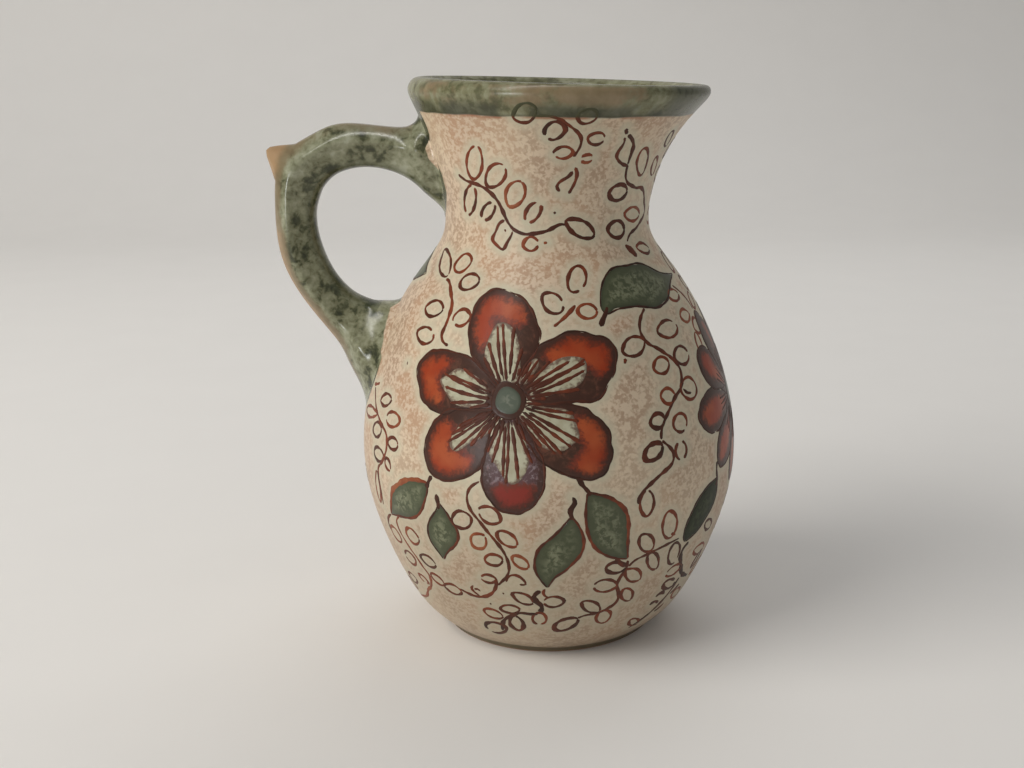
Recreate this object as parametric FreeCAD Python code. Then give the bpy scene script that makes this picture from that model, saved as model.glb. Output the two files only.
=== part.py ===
"""Earthenware jug: a thrown pot with a thick lip and a turned foot ring, a strap handle
luted on with soft clay, and a coat of glaze inside.

Frame: the origin is the centre of the foot on the table, +Z is up, the pouring side is
towards +X and the handle towards -X. All lengths are in millimetres.
"""
import FreeCAD, Part
import math
import os

V = FreeCAD.Vector

# Driving dimensions of the thrown pot
FOOT_RADIUS = 45.0
FOOT_TOP_RADIUS = 45.6
FOOT_HEIGHT = 2.2
FOOT_RING_WIDTH = 7.5
FOOT_RECESS = 3.0
RECESS_TAPER = 1.5
WALL = 5.0
CREST = (56.4, 228.6)
GLAZE = 0.4
GLAZE_TOP = 222.0

# The lip leans towards the pouring side and dips there, from this height up
LEAN_START = 180.0
LEAN_HEIGHT = 225.2
LEAN = 5.45
DIP = 2.0

# Outline of the outside, from the foot to the crest of the lip: (radius, height)
OUTSIDE = [
    (FOOT_TOP_RADIUS, FOOT_HEIGHT), (54.5, 10), (63.6, 24), (72.4, 45), (77.8, 66),
    (71.6, 117), (54.8, 150), (47.3, 160), (42.7, 168.3), (42.9, 184),
    (53.5, 213), (58.8, 221), (60.5, 225.2), (59.2, 227.8), CREST,
]
# The inside, from the crest down: two points of the lip, the wall's thickness in from the
# outside at these heights, then the fillet and the flat of the floor
LIP_INSIDE = [(53.5, 226.9), (51.6, 222.5)]
INSIDE_HEIGHTS = (212, 199, 184, 168, 158, 146, 120, 92, 66, 42, 24)
FLOOR = [(43, 12.6), (27, 9.5), (18, 9)]

# The strap handle: centre line in the XZ plane, from inside the neck to inside the belly
HANDLE_LINE = [
    (-36, 204.5), (-47, 202.3), (-60, 201.9), (-75, 203.6), (-88, 200.9), (-98, 193.8),
    (-103, 185), (-103.5, 172), (-101.3, 158.5), (-96, 146.3), (-88, 134.6),
    (-79, 124), (-67, 111),
]
HANDLE_SECTIONS = 26
# Half of the strap's section, from its spine round to its inner face: (outward, across)
HALF_STRAP = [(8.7, 4), (2.2, 9.5), (-8.7, 5)]

# Clay luted round the handle's two roots, as rings from inside the strap to inside the
# pot: each ring's outer and inner edge in the XZ plane
UPPER_LUTE = [
    ((-66, 210), (-66, 194)), ((-57.2, 211.3), (-56.5, 190.3)), ((-52.5, 213.2), (-50, 185)),
    ((-49, 217), (-44.5, 178)), ((-42, 220), (-36, 169)),
]
LOWER_LUTE = [
    ((-94.2, 132.4), (-85.6, 145.6)), ((-89.2, 124), (-77, 141.6)), ((-84.8, 115.5), (-71, 139.6)),
    ((-81.5, 107.5), (-64.5, 140.5)), ((-76, 98), (-56, 142)),
]
TAIL_HEIGHT = 108.0
TAIL_SIZE = (4.2, 12.0, 16.0)

# The pinched thumb spur on the handle's knee: where it starts, its tip, its radii
SPUR_START = (-98.5, 192.5)
SPUR_TIP = (-114.2, 202.0)
SPUR_RADII = ((0.0, 9.0), (0.45, 7.8), (0.8, 5.0), (1.0, 2.0))


def outline(points):
    """The smooth curve through (radius, height) points, in the XZ plane."""
    curve = Part.BSplineCurve()
    curve.interpolate([V(radius, 0, height) for radius, height in points])
    return curve


def leaning(point, side):
    """A point moved by the lean; side is 1 on the pouring side and -1 on the handle's."""
    rise = max(point.z - LEAN_START, 0.0) / (LEAN_HEIGHT - LEAN_START)
    share = rise ** 2
    return V(point.x + LEAN * share, point.y, point.z - DIP * share * side)


def skin(curve):
    """The face that an outline sweeps round the pot's axis, with the lean."""
    corners = [(1, 0), (1, 1), (0, 1), (-1, 1), (-1, 0), (-1, -1), (0, -1), (1, -1), (1, 0)]
    poles = []
    weights = []
    for pole in curve.getPoles():
        poles.append([leaning(V(pole.x * x, pole.x * y, pole.z), x) for x, y in corners])
        weights.append([1.0 if abs(x) + abs(y) == 1 else math.sqrt(0.5) for x, y in corners])
    surface = Part.BSplineSurface()
    surface.buildFromPolesMultsKnots(
        poles, curve.getMultiplicities(), [3, 2, 2, 2, 3], curve.getKnots(), [0, 1, 2, 3, 4],
        False, False, curve.Degree, 2, weights)
    return surface.toShape()


def end_caps(face):
    """The flat discs that close a skin, the lower one first."""
    rings = [edge for edge in face.Edges if edge.isClosed()]
    rings.sort(key=lambda edge: edge.BoundBox.ZMin)
    return [Part.Face(Part.Wire([ring])) for ring in rings]


def closed_solid(faces):
    """One solid from faces that meet along their edges."""
    shell = Part.makeShell(faces)
    shell.sewShape()
    solid = Part.Solid(shell if shell.ShapeType == "Shell" else shell.Shells[0])
    if solid.Volume < 0:
        solid.reverse()
    return solid


def inside_outline(outside, coat):
    """The inner outline, a coat thinner all over than the bare clay wall."""
    points = list(LIP_INSIDE)
    for height in INSIDE_HEIGHTS:
        place = outside.intersectCC(Part.LineSegment(V(20, 0, height), V(100, 0, height)))[0]
        at = V(place.X, place.Y, place.Z)
        along = outside.tangent(outside.parameter(at))[0]
        inward = V(-along.z, 0, along.x)
        inner = at + inward * WALL
        points.append((inner.x, inner.z))
    points += FLOOR
    if coat == 0:
        return outline([CREST] + points)
    bare = outline(points)
    coated = []
    for radius, height in points:
        along = bare.tangent(bare.parameter(V(radius, 0, height)))[0]
        coated.append((radius + along.z * coat, height - along.x * coat))
    return outline(coated)


def make_pot():
    """The pot's outside as one solid, its cavity, the glazed cavity, and the clay itself."""
    outside = outline(OUTSIDE)
    outer_skin = skin(outside)
    base_cap, crest_cap = end_caps(outer_skin)
    filled = closed_solid([outer_skin, base_cap, crest_cap])
    foot = Part.makeCone(FOOT_RADIUS, FOOT_TOP_RADIUS, FOOT_HEIGHT)
    filled = filled.fuse(foot).removeSplitter()

    inner_skin = skin(inside_outline(outside, 0))
    floor_cap, mouth_cap = end_caps(inner_skin)
    cavity = closed_solid([inner_skin, floor_cap, mouth_cap])
    coated_skin = skin(inside_outline(outside, GLAZE))
    coated_caps = end_caps(coated_skin)
    coated_cavity = closed_solid([coated_skin] + coated_caps)

    clay = closed_solid([outer_skin, inner_skin, base_cap, floor_cap])
    recess_radius = FOOT_RADIUS - FOOT_RING_WIDTH
    recess = Part.makeCone(recess_radius, recess_radius - RECESS_TAPER, FOOT_RECESS)
    clay = clay.fuse(foot).cut(recess).removeSplitter()
    return filled, cavity, coated_cavity, clay


def make_lining(cavity, coated_cavity):
    """The coat of glaze on the inside, up to just under the lip."""
    size = 2 * CREST[1]
    below = Part.makeBox(size, size, GLAZE_TOP, V(-size / 2, -size / 2, 0))
    return cavity.cut(coated_cavity).common(below)


def strap_section(middle, outward):
    """The strap's rounded six-sided section; outward points away from the hand's gap."""
    corners = HALF_STRAP + [(out, -across) for out, across in reversed(HALF_STRAP)]
    points = [middle + outward * out + V(0, across, 0) for out, across in corners]
    curve = Part.BSplineCurve()
    curve.interpolate(points, PeriodicFlag=True)
    return Part.Wire([curve.toShape()])


def line_frame(curve, parameter):
    """A point of the handle's centre line and the direction away from the hand's gap."""
    along = curve.tangent(parameter)[0]
    return curve.value(parameter), V(along.z, 0, -along.x)


def handle_line():
    """The handle's centre line."""
    curve = Part.BSplineCurve()
    curve.interpolate([V(x, 0, z) for x, z in HANDLE_LINE])
    return curve


def make_handle(line, filled):
    """The strap, cut where it meets the pot."""
    first, last = line.FirstParameter, line.LastParameter
    sections = []
    for index in range(HANDLE_SECTIONS):
        parameter = first + (last - first) * index / (HANDLE_SECTIONS - 1)
        middle, outward = line_frame(line, parameter)
        sections.append(strap_section(middle, outward))
    return Part.makeLoft(sections, True).cut(filled)


def ring(middle, along, radius):
    """A circle as a wire, square to a direction."""
    return Part.Wire([Part.makeCircle(radius, middle, along)])


def lute(edges, handle, filled):
    """Clay that flares from the strap onto the pot, through rings given by their edges."""
    rings = []
    for (outer_x, outer_z), (inner_x, inner_z) in edges:
        outer = V(outer_x, 0, outer_z)
        across = V(inner_x, 0, inner_z) - outer
        along = V(across.z, 0, -across.x)
        rings.append(ring(outer + across * 0.5, along, across.Length / 2))
    return Part.makeLoft(rings, True).cut(handle).cut(filled)


def make_tail():
    """The smear of clay that runs down the belly below the lower root."""
    outside = outline(OUTSIDE)
    level = Part.LineSegment(V(20, 0, TAIL_HEIGHT), V(100, 0, TAIL_HEIGHT))
    place = outside.intersectCC(level)[0]
    slope = outside.tangent(outside.parameter(V(place.X, 0, place.Z)))[0]
    stretch = FreeCAD.Matrix()
    stretch.scale(*TAIL_SIZE)
    tail = Part.makeSphere(1.0).transformGeometry(stretch)
    tail.rotate(V(0, 0, 0), V(0, 1, 0), math.degrees(math.atan2(-slope.x, slope.z)))
    tail.translate(V(-place.X, 0, place.Z))
    return tail


def make_spur(handle):
    """The small pinched peak that the thumb rests against."""
    start = V(SPUR_START[0], 0, SPUR_START[1])
    reach = V(SPUR_TIP[0], 0, SPUR_TIP[1]) - start
    rings = [ring(start + reach * share, reach, radius) for share, radius in SPUR_RADII]
    return Part.makeLoft(rings, True).cut(handle)


def main_solid(shape):
    """The largest solid of a cut, without any slivers."""
    return max(shape.Solids, key=lambda solid: solid.Volume)


def build():
    """All nodes of the jug, by name."""
    filled, cavity, coated_cavity, clay = make_pot()
    line = handle_line()
    handle = main_solid(make_handle(line, filled))
    tail = make_tail().cut(handle).cut(filled)
    return {
        "jug_body": main_solid(clay),
        "glaze_lining": main_solid(make_lining(cavity, coated_cavity)),
        "handle": handle,
        "thumb_spur": main_solid(make_spur(handle)),
        "upper_lute": main_solid(lute(UPPER_LUTE, handle, filled)),
        "lower_lute": main_solid(lute(LOWER_LUTE, handle, filled).fuse(tail)),
    }


os.makedirs("parts", exist_ok=True)
for name, solid in build().items():
    solid.exportStep("parts/" + name + ".step")
    print(name, "valid:", solid.isValid(), "cubic cm:", round(solid.Volume / 1000, 2))
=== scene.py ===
import math
import random

import bpy
import bmesh
import numpy as np
from mathutils import Matrix, Vector
from mathutils.geometry import delaunay_2d_cdt
from mathutils.kdtree import KDTree


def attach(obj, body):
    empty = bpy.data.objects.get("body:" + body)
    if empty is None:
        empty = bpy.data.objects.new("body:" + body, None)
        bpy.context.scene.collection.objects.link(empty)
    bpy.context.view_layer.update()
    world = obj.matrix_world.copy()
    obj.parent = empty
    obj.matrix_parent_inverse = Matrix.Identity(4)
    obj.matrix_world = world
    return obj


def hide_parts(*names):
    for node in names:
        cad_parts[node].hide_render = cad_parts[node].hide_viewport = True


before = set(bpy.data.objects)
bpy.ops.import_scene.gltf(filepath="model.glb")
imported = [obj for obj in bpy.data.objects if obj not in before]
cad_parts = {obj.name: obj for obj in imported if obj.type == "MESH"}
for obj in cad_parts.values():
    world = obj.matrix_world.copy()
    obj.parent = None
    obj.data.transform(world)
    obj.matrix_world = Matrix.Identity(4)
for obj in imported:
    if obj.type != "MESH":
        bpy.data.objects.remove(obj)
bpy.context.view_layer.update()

# A hand-painted earthenware jug. Lengths below are in millimetres and angles in degrees.
# A place on the pot is (angle, height): angle 0 faces the camera, 90 is the pouring side,
# -90 the handle and 180 the back.
MM = 0.001

# ---------------------------------------------------------------- the pot's shape

# Outlines as (radius, height): the outside, the foot with its ring, and the inside
OUTSIDE = [
    (45.6, 2.2), (54.5, 10), (63.6, 24), (72.4, 45), (77.8, 66), (71.6, 117), (54.8, 150),
    (47.3, 160), (42.7, 168.3), (42.9, 184), (53.5, 213), (58.8, 221), (60.5, 225.2),
    (59.2, 227.8), (56.4, 228.6),
]
FOOT = [(1, 3), (34, 3), (35.6, 2.8), (37, 0.6), (38, 0), (44.2, 0), (44.9, 0.5), (45.2, 1.4)]
INSIDE = [
    (56.4, 228.6), (53.5, 226.9), (51.6, 222.5), (48.6, 214.5), (43.6, 200), (37.9, 184),
    (37.7, 168.5), (43.5, 157.5), (53.5, 143), (66.9, 118), (72.8, 66), (67.4, 45), (59, 26),
    (43, 12.6), (27, 9.5), (0, 9),
]
# The mouth leans towards the pouring side and dips there, from this height up
LEAN_START = 180
LEAN_HEIGHT = 225.2
LEAN = 5.45
DIP = 2
# The thrown wall's unevenness above this height: (size, waves round the pot, rise per radian)
WOBBLE_START = 20
WOBBLES = [(0.14, 3, 19), (0.12, 2, -31)]


def unit(vectors):
    """The same vectors, one to a row, with length 1."""
    return vectors / np.linalg.norm(vectors, axis=1)[:, None]


def travelled(curve):
    """How far along a curve each of its points lies."""
    return np.concatenate([[0], np.cumsum(np.linalg.norm(np.diff(curve, axis=0), axis=1))])


def even_points(curve, count):
    """Evenly spaced points along a dense curve."""
    run = travelled(curve)
    even = np.linspace(0, run[-1], count)
    return np.stack([np.interp(even, run, axis) for axis in curve.T], 1)


def smooth_curve(points, count, closed=False):
    """Evenly spaced points on the cubic spline through a few given ones."""
    knots = np.array(points, float)
    if closed:
        knots = np.vstack([knots, knots[:1]])
    gaps = np.linalg.norm(np.diff(knots, axis=0), axis=1)
    slopes = np.diff(knots, axis=0) / gaps[:, None]
    last = len(gaps)
    system = np.eye(last + 1)
    pull = np.zeros_like(knots)
    for i in range(1, last):
        system[i, i - 1:i + 2] = gaps[i - 1], 2 * (gaps[i - 1] + gaps[i]), gaps[i]
        pull[i] = 6 * (slopes[i] - slopes[i - 1])
    if closed:
        system[0, last - 1] = gaps[-1]
        system[0, 0] = 2 * (gaps[-1] + gaps[0])
        system[0, 1] = gaps[0]
        pull[0] = 6 * (slopes[0] - slopes[-1])
        system[last, 0] = -1
    bend = np.linalg.solve(system, pull)
    place = travelled(knots)
    at = np.linspace(0, place[-1], 8 * len(knots) + 3 * count)
    piece_of = np.clip(np.searchsorted(place, at, side="right") - 1, 0, last - 1)
    width = gaps[piece_of][:, None]
    left = (place[piece_of + 1] - at)[:, None] / width
    right = 1 - left
    curve = left * knots[piece_of] + right * knots[piece_of + 1] + width ** 2 / 6 * (
        (left ** 3 - left) * bend[piece_of] + (right ** 3 - right) * bend[piece_of + 1])
    result = even_points(curve, count + 1 if closed else count)
    return result[:-1] if closed else result


PROFILE = smooth_curve(OUTSIDE, 1500)
PROFILE_SLOPE = np.gradient(PROFILE[:, 0], PROFILE[:, 1])


def radius_at(height):
    return np.interp(height, PROFILE[:, 1], PROFILE[:, 0])


def turned(radius, angle, height):
    """Points in the part's frame, in metres, with the mouth's lean and the wall's wobble."""
    turn = np.radians(angle)
    share = (np.clip(height - LEAN_START, 0, None) / (LEAN_HEIGHT - LEAN_START)) ** 2
    wave = sum(size * np.sin(waves * turn + height / rise) for size, waves, rise in WOBBLES)
    radius = radius + np.clip(height / WOBBLE_START, 0, 1) * wave
    return MM * np.stack([
        radius * np.sin(turn) + LEAN * share,
        -radius * np.cos(turn),
        height - DIP * share * np.sin(turn),
    ], -1)


def on_pot(angle, height, out=0.0):
    """Points on the pot's outside, or raised from it by out."""
    slope = np.interp(height, PROFILE[:, 1], PROFILE_SLOPE)
    length = np.sqrt(1 + slope ** 2)
    return turned(radius_at(height) + out / length, angle, height - out * slope / length)


def mm_per_degree(height):
    return radius_at(height) * math.pi / 180


# ---------------------------------------------------------------- materials


def seen(red, green, blue):
    """A colour given by its screen values, 0 to 255."""
    return tuple(((c / 255 + 0.055) / 1.055) ** 2.4 for c in (red, green, blue)) + (1.0,)


class Nodes:
    """One glazed material, built a node at a time."""

    def __init__(self, name):
        self.material = bpy.data.materials.new(name)
        self.material.use_nodes = True
        self.tree = self.material.node_tree
        self.shader = self.tree.nodes["Principled BSDF"]
        self.place = self.add("ShaderNodeTexCoord").outputs["Object"]

    def add(self, kind, *inputs, **settings):
        node = self.tree.nodes.new(kind)
        for key, value in settings.items():
            setattr(node, key, value)
        for socket, value in inputs:
            self.feed(node.inputs[socket], value)
        return node

    def feed(self, socket, value):
        if isinstance(value, bpy.types.NodeSocket):
            self.tree.links.new(value, socket)
        else:
            socket.default_value = value

    def math(self, operation, a, b):
        return self.add("ShaderNodeMath", (0, a), (1, b), operation=operation).outputs[0]

    def plus(self, a, b):
        return self.math("ADD", a, b)

    def minus(self, a, b):
        return self.math("SUBTRACT", a, b)

    def times(self, a, b):
        return self.math("MULTIPLY", a, b)

    def larger(self, a, b):
        return self.math("MAXIMUM", a, b)

    def shade(self, name):
        return self.add("ShaderNodeAttribute", attribute_name=name).outputs["Fac"]

    def noise(self, size, detail=2.0, roughness=0.5, distortion=0.0, stretch=None):
        """Noise whose features are about size millimetres across."""
        place = self.place
        if stretch:
            place = self.add("ShaderNodeMapping", ("Vector", place), ("Scale", stretch)).outputs[0]
        return self.add(
            "ShaderNodeTexNoise", ("Vector", place), ("Scale", 1000 / size), ("Detail", detail),
            ("Roughness", roughness), ("Distortion", distortion)).outputs[0]

    def step(self, value, low, high, bottom=0.0, top=1.0):
        """Rises smoothly from bottom to top while value goes from low to high."""
        return self.add(
            "ShaderNodeMapRange", ("Value", value), ("From Min", low), ("From Max", high),
            ("To Min", bottom), ("To Max", top), interpolation_type="SMOOTHSTEP").outputs[0]

    def mix(self, share, a, b):
        node = self.add("ShaderNodeMix", (0, share), (6, a), (7, b), data_type="RGBA")
        return node.outputs[2]

    def ramp(self, value, *stops):
        node = self.add("ShaderNodeValToRGB", (0, value))
        for spot, (position, colour) in enumerate(stops):
            if spot > 1:
                node.color_ramp.elements.new(position)
            node.color_ramp.elements[spot].position = position
            node.color_ramp.elements[spot].color = colour
        return node.outputs[0]

    def finish(self, colour, roughness, relief, depth):
        """Colour, roughness and a fine relief of the given depth in millimetres."""
        self.feed(self.shader.inputs["Base Color"], colour)
        self.feed(self.shader.inputs["Roughness"], roughness)
        bump = self.add(
            "ShaderNodeBump", ("Height", relief), ("Strength", 1.0), ("Distance", depth * MM))
        self.feed(self.shader.inputs["Normal"], bump.outputs[0])
        return self.material


def cream_colour(nodes, halo):
    """Sponged cream ground: tan and pink mottling that clears to pale mint near the painting."""
    fine = nodes.noise(1.4, 2.0, 0.55, 0.3)
    sponge = nodes.noise(3.3, 2.0, 0.5, 0.3)
    broad = nodes.noise(42, 1.0)
    warmth = nodes.noise(28, 1.0, stretch=(1.0, 1.0, 0.6))
    light = nodes.mix(nodes.step(broad, 0.38, 0.62), seen(217, 198, 171), seen(208, 187, 162))
    tan = nodes.mix(nodes.step(warmth, 0.4, 0.6), seen(181, 144, 113), seen(168, 139, 113))
    dabs = nodes.plus(fine, nodes.times(nodes.minus(sponge, 0.5), 0.7))
    mottle = nodes.step(dabs, 0.36, 0.64)
    strength = nodes.times(mottle, nodes.step(broad, 0.3, 0.62, 0.58, 0.88))
    bare = nodes.times(halo, nodes.step(sponge, 0.3, 0.65, 0.6, 0.95))
    strength = nodes.times(strength, nodes.minus(1.0, bare))
    ground = nodes.mix(strength, light, tan)
    return nodes.mix(nodes.times(bare, 0.7), ground, seen(189, 190, 165))


def green_colour(nodes):
    """Sponged grey-green glaze: pale patches, dark green blotches."""
    blotch = nodes.noise(10, 3.0, 0.55, 0.4)
    dab = nodes.noise(3.4, 3.0, 0.6, 0.3)
    mixed = nodes.plus(nodes.times(blotch, 0.55), nodes.times(dab, 0.45))
    return nodes.ramp(
        mixed, (0.37, seen(54, 57, 38)), (0.43, seen(78, 81, 56)), (0.47, seen(112, 113, 86)),
        (0.55, seen(138, 140, 113)), (0.66, seen(164, 166, 144)))


def glaze_relief(nodes):
    """Orange-peel waviness and small pits."""
    wave = nodes.noise(9, 2.0)
    grain = nodes.noise(1.6, 2.0)
    return nodes.plus(nodes.times(wave, 0.8), nodes.times(grain, 0.2))


# Heights between which the pot's glazes change, and over which painted shade darkens the
# low part of the pot, given in the order from none to full
RUST_LINE = (215.4, 216.3)
LIP_BAND = (216.2, 216.9)
BAND_FOOT = (218.0, 216.6)
DEEP_GREEN = (223, 219)
WORN_FROM = (219.4, 222.6)
WORN_UP_TO = (228.4, 227.2)
LOW_PAINTED_SHADE = (105, 15)
OLIVE_LINE = (3.4, 2.4)
RAW_CLAY = (0.9, 0.3)


def lip_colour(nodes, level, height, drift, above):
    """The lip's green glaze, deeper low down, darker towards the pouring side as painted shade,
    and worn to brown clay in places.
    """
    bare_lip = nodes.shade("bare_lip")
    green = nodes.mix(0.35, green_colour(nodes), seen(120, 116, 78))
    deeper_and_shaded = nodes.times(nodes.step(level, *DEEP_GREEN), nodes.step(nodes.noise(17), 0.38, 0.55))
    # Painted shade: the green darkens towards the pouring side, where the lip spots weigh below 0.
    deeper_and_shaded = nodes.larger(deeper_and_shaded, nodes.step(bare_lip, -0.1, -0.7))
    green = nodes.mix(nodes.times(deeper_and_shaded, 0.66), green, seen(46, 50, 36))
    brown = nodes.mix(nodes.noise(5, 3.0, 0.6), seen(112, 98, 70), seen(154, 132, 102))
    patchy = nodes.times(nodes.minus(nodes.noise(7, 3.0, 0.6), 0.5), 2.6)
    lip = nodes.plus(nodes.plus(bare_lip, nodes.times(drift, 1.4)), patchy)
    upper = nodes.step(nodes.plus(height, patchy), *WORN_FROM)
    worn = nodes.times(nodes.step(lip, 0.15, 0.85), upper)
    worn = nodes.times(worn, nodes.step(level, *WORN_UP_TO))
    band = nodes.mix(nodes.times(worn, 0.85), green, brown)
    dark_edge = nodes.times(nodes.step(height, *BAND_FOOT), above)
    return nodes.mix(nodes.times(dark_edge, 0.6), band, seen(60, 62, 40))


def pot_material():
    """Cream ground that turns darker low on the pot as painted shade, the lip's green band, green
    round the handle's roots, an olive line over the foot and raw clay under it."""
    nodes = Nodes("glazed_clay")
    level = nodes.shade("level")
    drift = nodes.minus(nodes.noise(24, 2.0), 0.5)
    height = nodes.plus(level, nodes.times(drift, 2.2))
    cream = cream_colour(nodes, nodes.shade("halo"))
    # Painted shade: the cream ground turns darker and greyer towards the bottom.
    cream = nodes.mix(nodes.step(level, *LOW_PAINTED_SHADE, 0.0, 0.42), cream, seen(152, 138, 116))
    above = nodes.step(height, *LIP_BAND)
    band = lip_colour(nodes, level, height, drift, above)
    joint = nodes.plus(nodes.shade("joint"), nodes.times(drift, 2.0))
    covered = nodes.larger(above, nodes.step(joint, -0.3, 0.3))
    rust = nodes.times(nodes.step(height, *RUST_LINE), nodes.step(nodes.noise(15), 0.52, 0.6))
    colour = nodes.mix(nodes.times(rust, 0.75), cream, seen(156, 92, 58))
    colour = nodes.mix(covered, colour, band)
    olive = nodes.mix(nodes.noise(8, 3.0), seen(92, 84, 62), seen(120, 106, 80))
    colour = nodes.mix(nodes.step(height, *OLIVE_LINE), colour, olive)
    raw = nodes.step(level, *RAW_CLAY)
    colour = nodes.mix(raw, colour, seen(176, 140, 112))
    rough = nodes.mix(covered, (0.42, 0.42, 0.42, 1), (0.27, 0.27, 0.27, 1))
    rough = nodes.mix(raw, rough, (0.8, 0.8, 0.8, 1))
    return nodes.finish(colour, rough, glaze_relief(nodes), 0.10)


def handle_material():
    """Green glaze, thin to tan clay where it is worn and darker on the strap's inner face as
    painted shade, with the cream ground at its roots.
    """
    nodes = Nodes("green_glaze_handle")
    drift = nodes.minus(nodes.noise(11, 3.0), 0.5)
    cream_share = nodes.step(
        nodes.plus(nodes.shade("cream"), nodes.times(drift, 0.35)), 0.47, 0.53)
    wear = nodes.plus(nodes.shade("wear"), nodes.times(drift, 0.7))
    green = green_colour(nodes)
    # Painted shade: the green darkens over the strap's inner face, next to the hole.
    dark_edge = nodes.step(nodes.shade("inner"), 0.4, 1.0, 0.0, 0.5)
    green = nodes.mix(dark_edge, green, seen(58, 68, 48))
    olive = nodes.mix(nodes.noise(6, 3.0), seen(112, 98, 70), seen(140, 122, 92))
    green = nodes.mix(nodes.step(wear, 0.15, 0.5, 0.0, 0.85), green, olive)
    tan = nodes.mix(nodes.noise(7, 3.0), seen(158, 126, 90), seen(178, 148, 112))
    green = nodes.mix(nodes.step(wear, 0.5, 0.95, 0.0, 0.92), green, tan)
    colour = nodes.mix(cream_share, green, cream_colour(nodes, 0.0))
    return nodes.finish(colour, 0.17, glaze_relief(nodes), 0.12)


def lining_material():
    nodes = Nodes("green_glaze_inside")
    green = nodes.mix(0.45, green_colour(nodes), seen(70, 84, 60))
    return nodes.finish(green, 0.2, glaze_relief(nodes), 0.10)


def line_material():
    nodes = Nodes("red_brown_line")
    grain = nodes.minus(nodes.noise(4.5, 3.0, 0.6), 0.5)
    tone = nodes.plus(nodes.shade("tone"), nodes.times(grain, 0.75))
    line = nodes.ramp(
        tone, (0.0, seen(152, 90, 56)), (0.3, seen(126, 58, 31)), (0.6, seen(86, 40, 22)),
        (1.0, seen(50, 28, 16)))
    under_glaze = nodes.step(nodes.shade("level"), 216.0, 217.2)
    colour = nodes.mix(under_glaze, line, seen(72, 73, 49))
    nodes.shader.inputs["Specular IOR Level"].default_value = 0.3
    return nodes.finish(colour, 0.45, nodes.noise(2.2, 2.0), 0.05)


def petal_material():
    nodes = Nodes("orange_red_petal")
    brush = nodes.noise(4.0, 5.0, 0.7, 0.8)
    fine = nodes.noise(1.3, 3.0, 0.6)
    broad = nodes.noise(13, 2.0)
    violet = nodes.shade("violet")
    grain = nodes.minus(nodes.plus(nodes.times(brush, 0.6), nodes.times(fine, 0.4)), 0.5)
    glow = nodes.plus(nodes.shade("glow"), nodes.times(grain, 1.9))
    dark = nodes.mix(nodes.step(brush, 0.42, 0.7), seen(66, 42, 30), seen(104, 66, 50))
    # Purple-grey of the violet petal with pale pinkish speckles: partly the paint's own tone,
    # partly painted sheen.
    plum_and_sheen = nodes.mix(nodes.step(fine, 0.5, 0.68), seen(92, 68, 70), seen(140, 126, 130))
    dark = nodes.mix(violet, dark, plum_and_sheen)
    orange = nodes.mix(nodes.step(broad, 0.35, 0.65), seen(150, 54, 20), seen(168, 80, 42))
    orange = nodes.mix(violet, orange, seen(132, 44, 32))
    orange = nodes.mix(nodes.step(grain, 0.06, 0.22, 0.0, 0.5), orange, seen(112, 44, 26))
    colour = nodes.mix(nodes.step(glow, 0.1, 0.5), dark, seen(112, 50, 34))
    colour = nodes.mix(nodes.step(glow, 0.4, 0.85), colour, orange)
    rim = nodes.plus(nodes.shade("edge"), nodes.times(grain, 1.1))
    colour = nodes.mix(nodes.step(rim, 0.52, 0.12, 0.0, 0.85), colour, seen(64, 38, 27))
    nodes.shader.inputs["Specular IOR Level"].default_value = 0.33
    return nodes.finish(colour, 0.34, nodes.noise(2.5, 3.0), 0.07)


def mint_material():
    nodes = Nodes("pale_mint")
    patch = nodes.noise(4, 3.0)
    ragged = nodes.times(nodes.minus(nodes.noise(1.6, 3.0), 0.5), 0.7)
    colour = nodes.mix(nodes.step(patch, 0.35, 0.65), seen(168, 162, 136), seen(184, 182, 157))
    rim = nodes.plus(nodes.shade("edge"), ragged)
    colour = nodes.mix(nodes.step(rim, 0.22, 0.02, 0.0, 0.85), colour, seen(92, 62, 48))
    return nodes.finish(colour, 0.42, nodes.noise(3, 3.0), 0.05)


def leaf_material(name, deep, pale, gloss=0.45):
    nodes = Nodes(name)
    sponge = nodes.noise(2.0, 3.0, 0.6, 0.5)
    broad = nodes.noise(8, 2.0)
    inner = nodes.step(nodes.shade("edge"), 0.10, 0.5)
    dabs = nodes.times(nodes.step(sponge, 0.40, 0.60), inner)
    dabs = nodes.times(dabs, nodes.step(broad, 0.3, 0.6, 0.35, 1.0))
    colour = nodes.mix(dabs, deep, pale)
    rim = nodes.step(nodes.shade("edge"), 0.16, 0.02, 0.0, 0.55)
    colour = nodes.mix(rim, colour, seen(44, 46, 30))
    nodes.shader.inputs["Specular IOR Level"].default_value = gloss
    return nodes.finish(colour, 0.33, nodes.noise(3, 3.0), 0.06)


CLAY = pot_material()
HANDLE_GLAZE = handle_material()
INSIDE_GLAZE = lining_material()
LINE = line_material()
PETAL = petal_material()
MINT = mint_material()
LEAF = leaf_material("leaf_green", seen(70, 76, 50), seen(124, 128, 100))
DARK_LEAF = leaf_material("leaf_dark_green", seen(38, 44, 24), seen(58, 66, 42), 0.15)
DISC = leaf_material("disc_grey_green", seen(84, 92, 78), seen(116, 120, 105))


# ---------------------------------------------------------------- meshes


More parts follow.
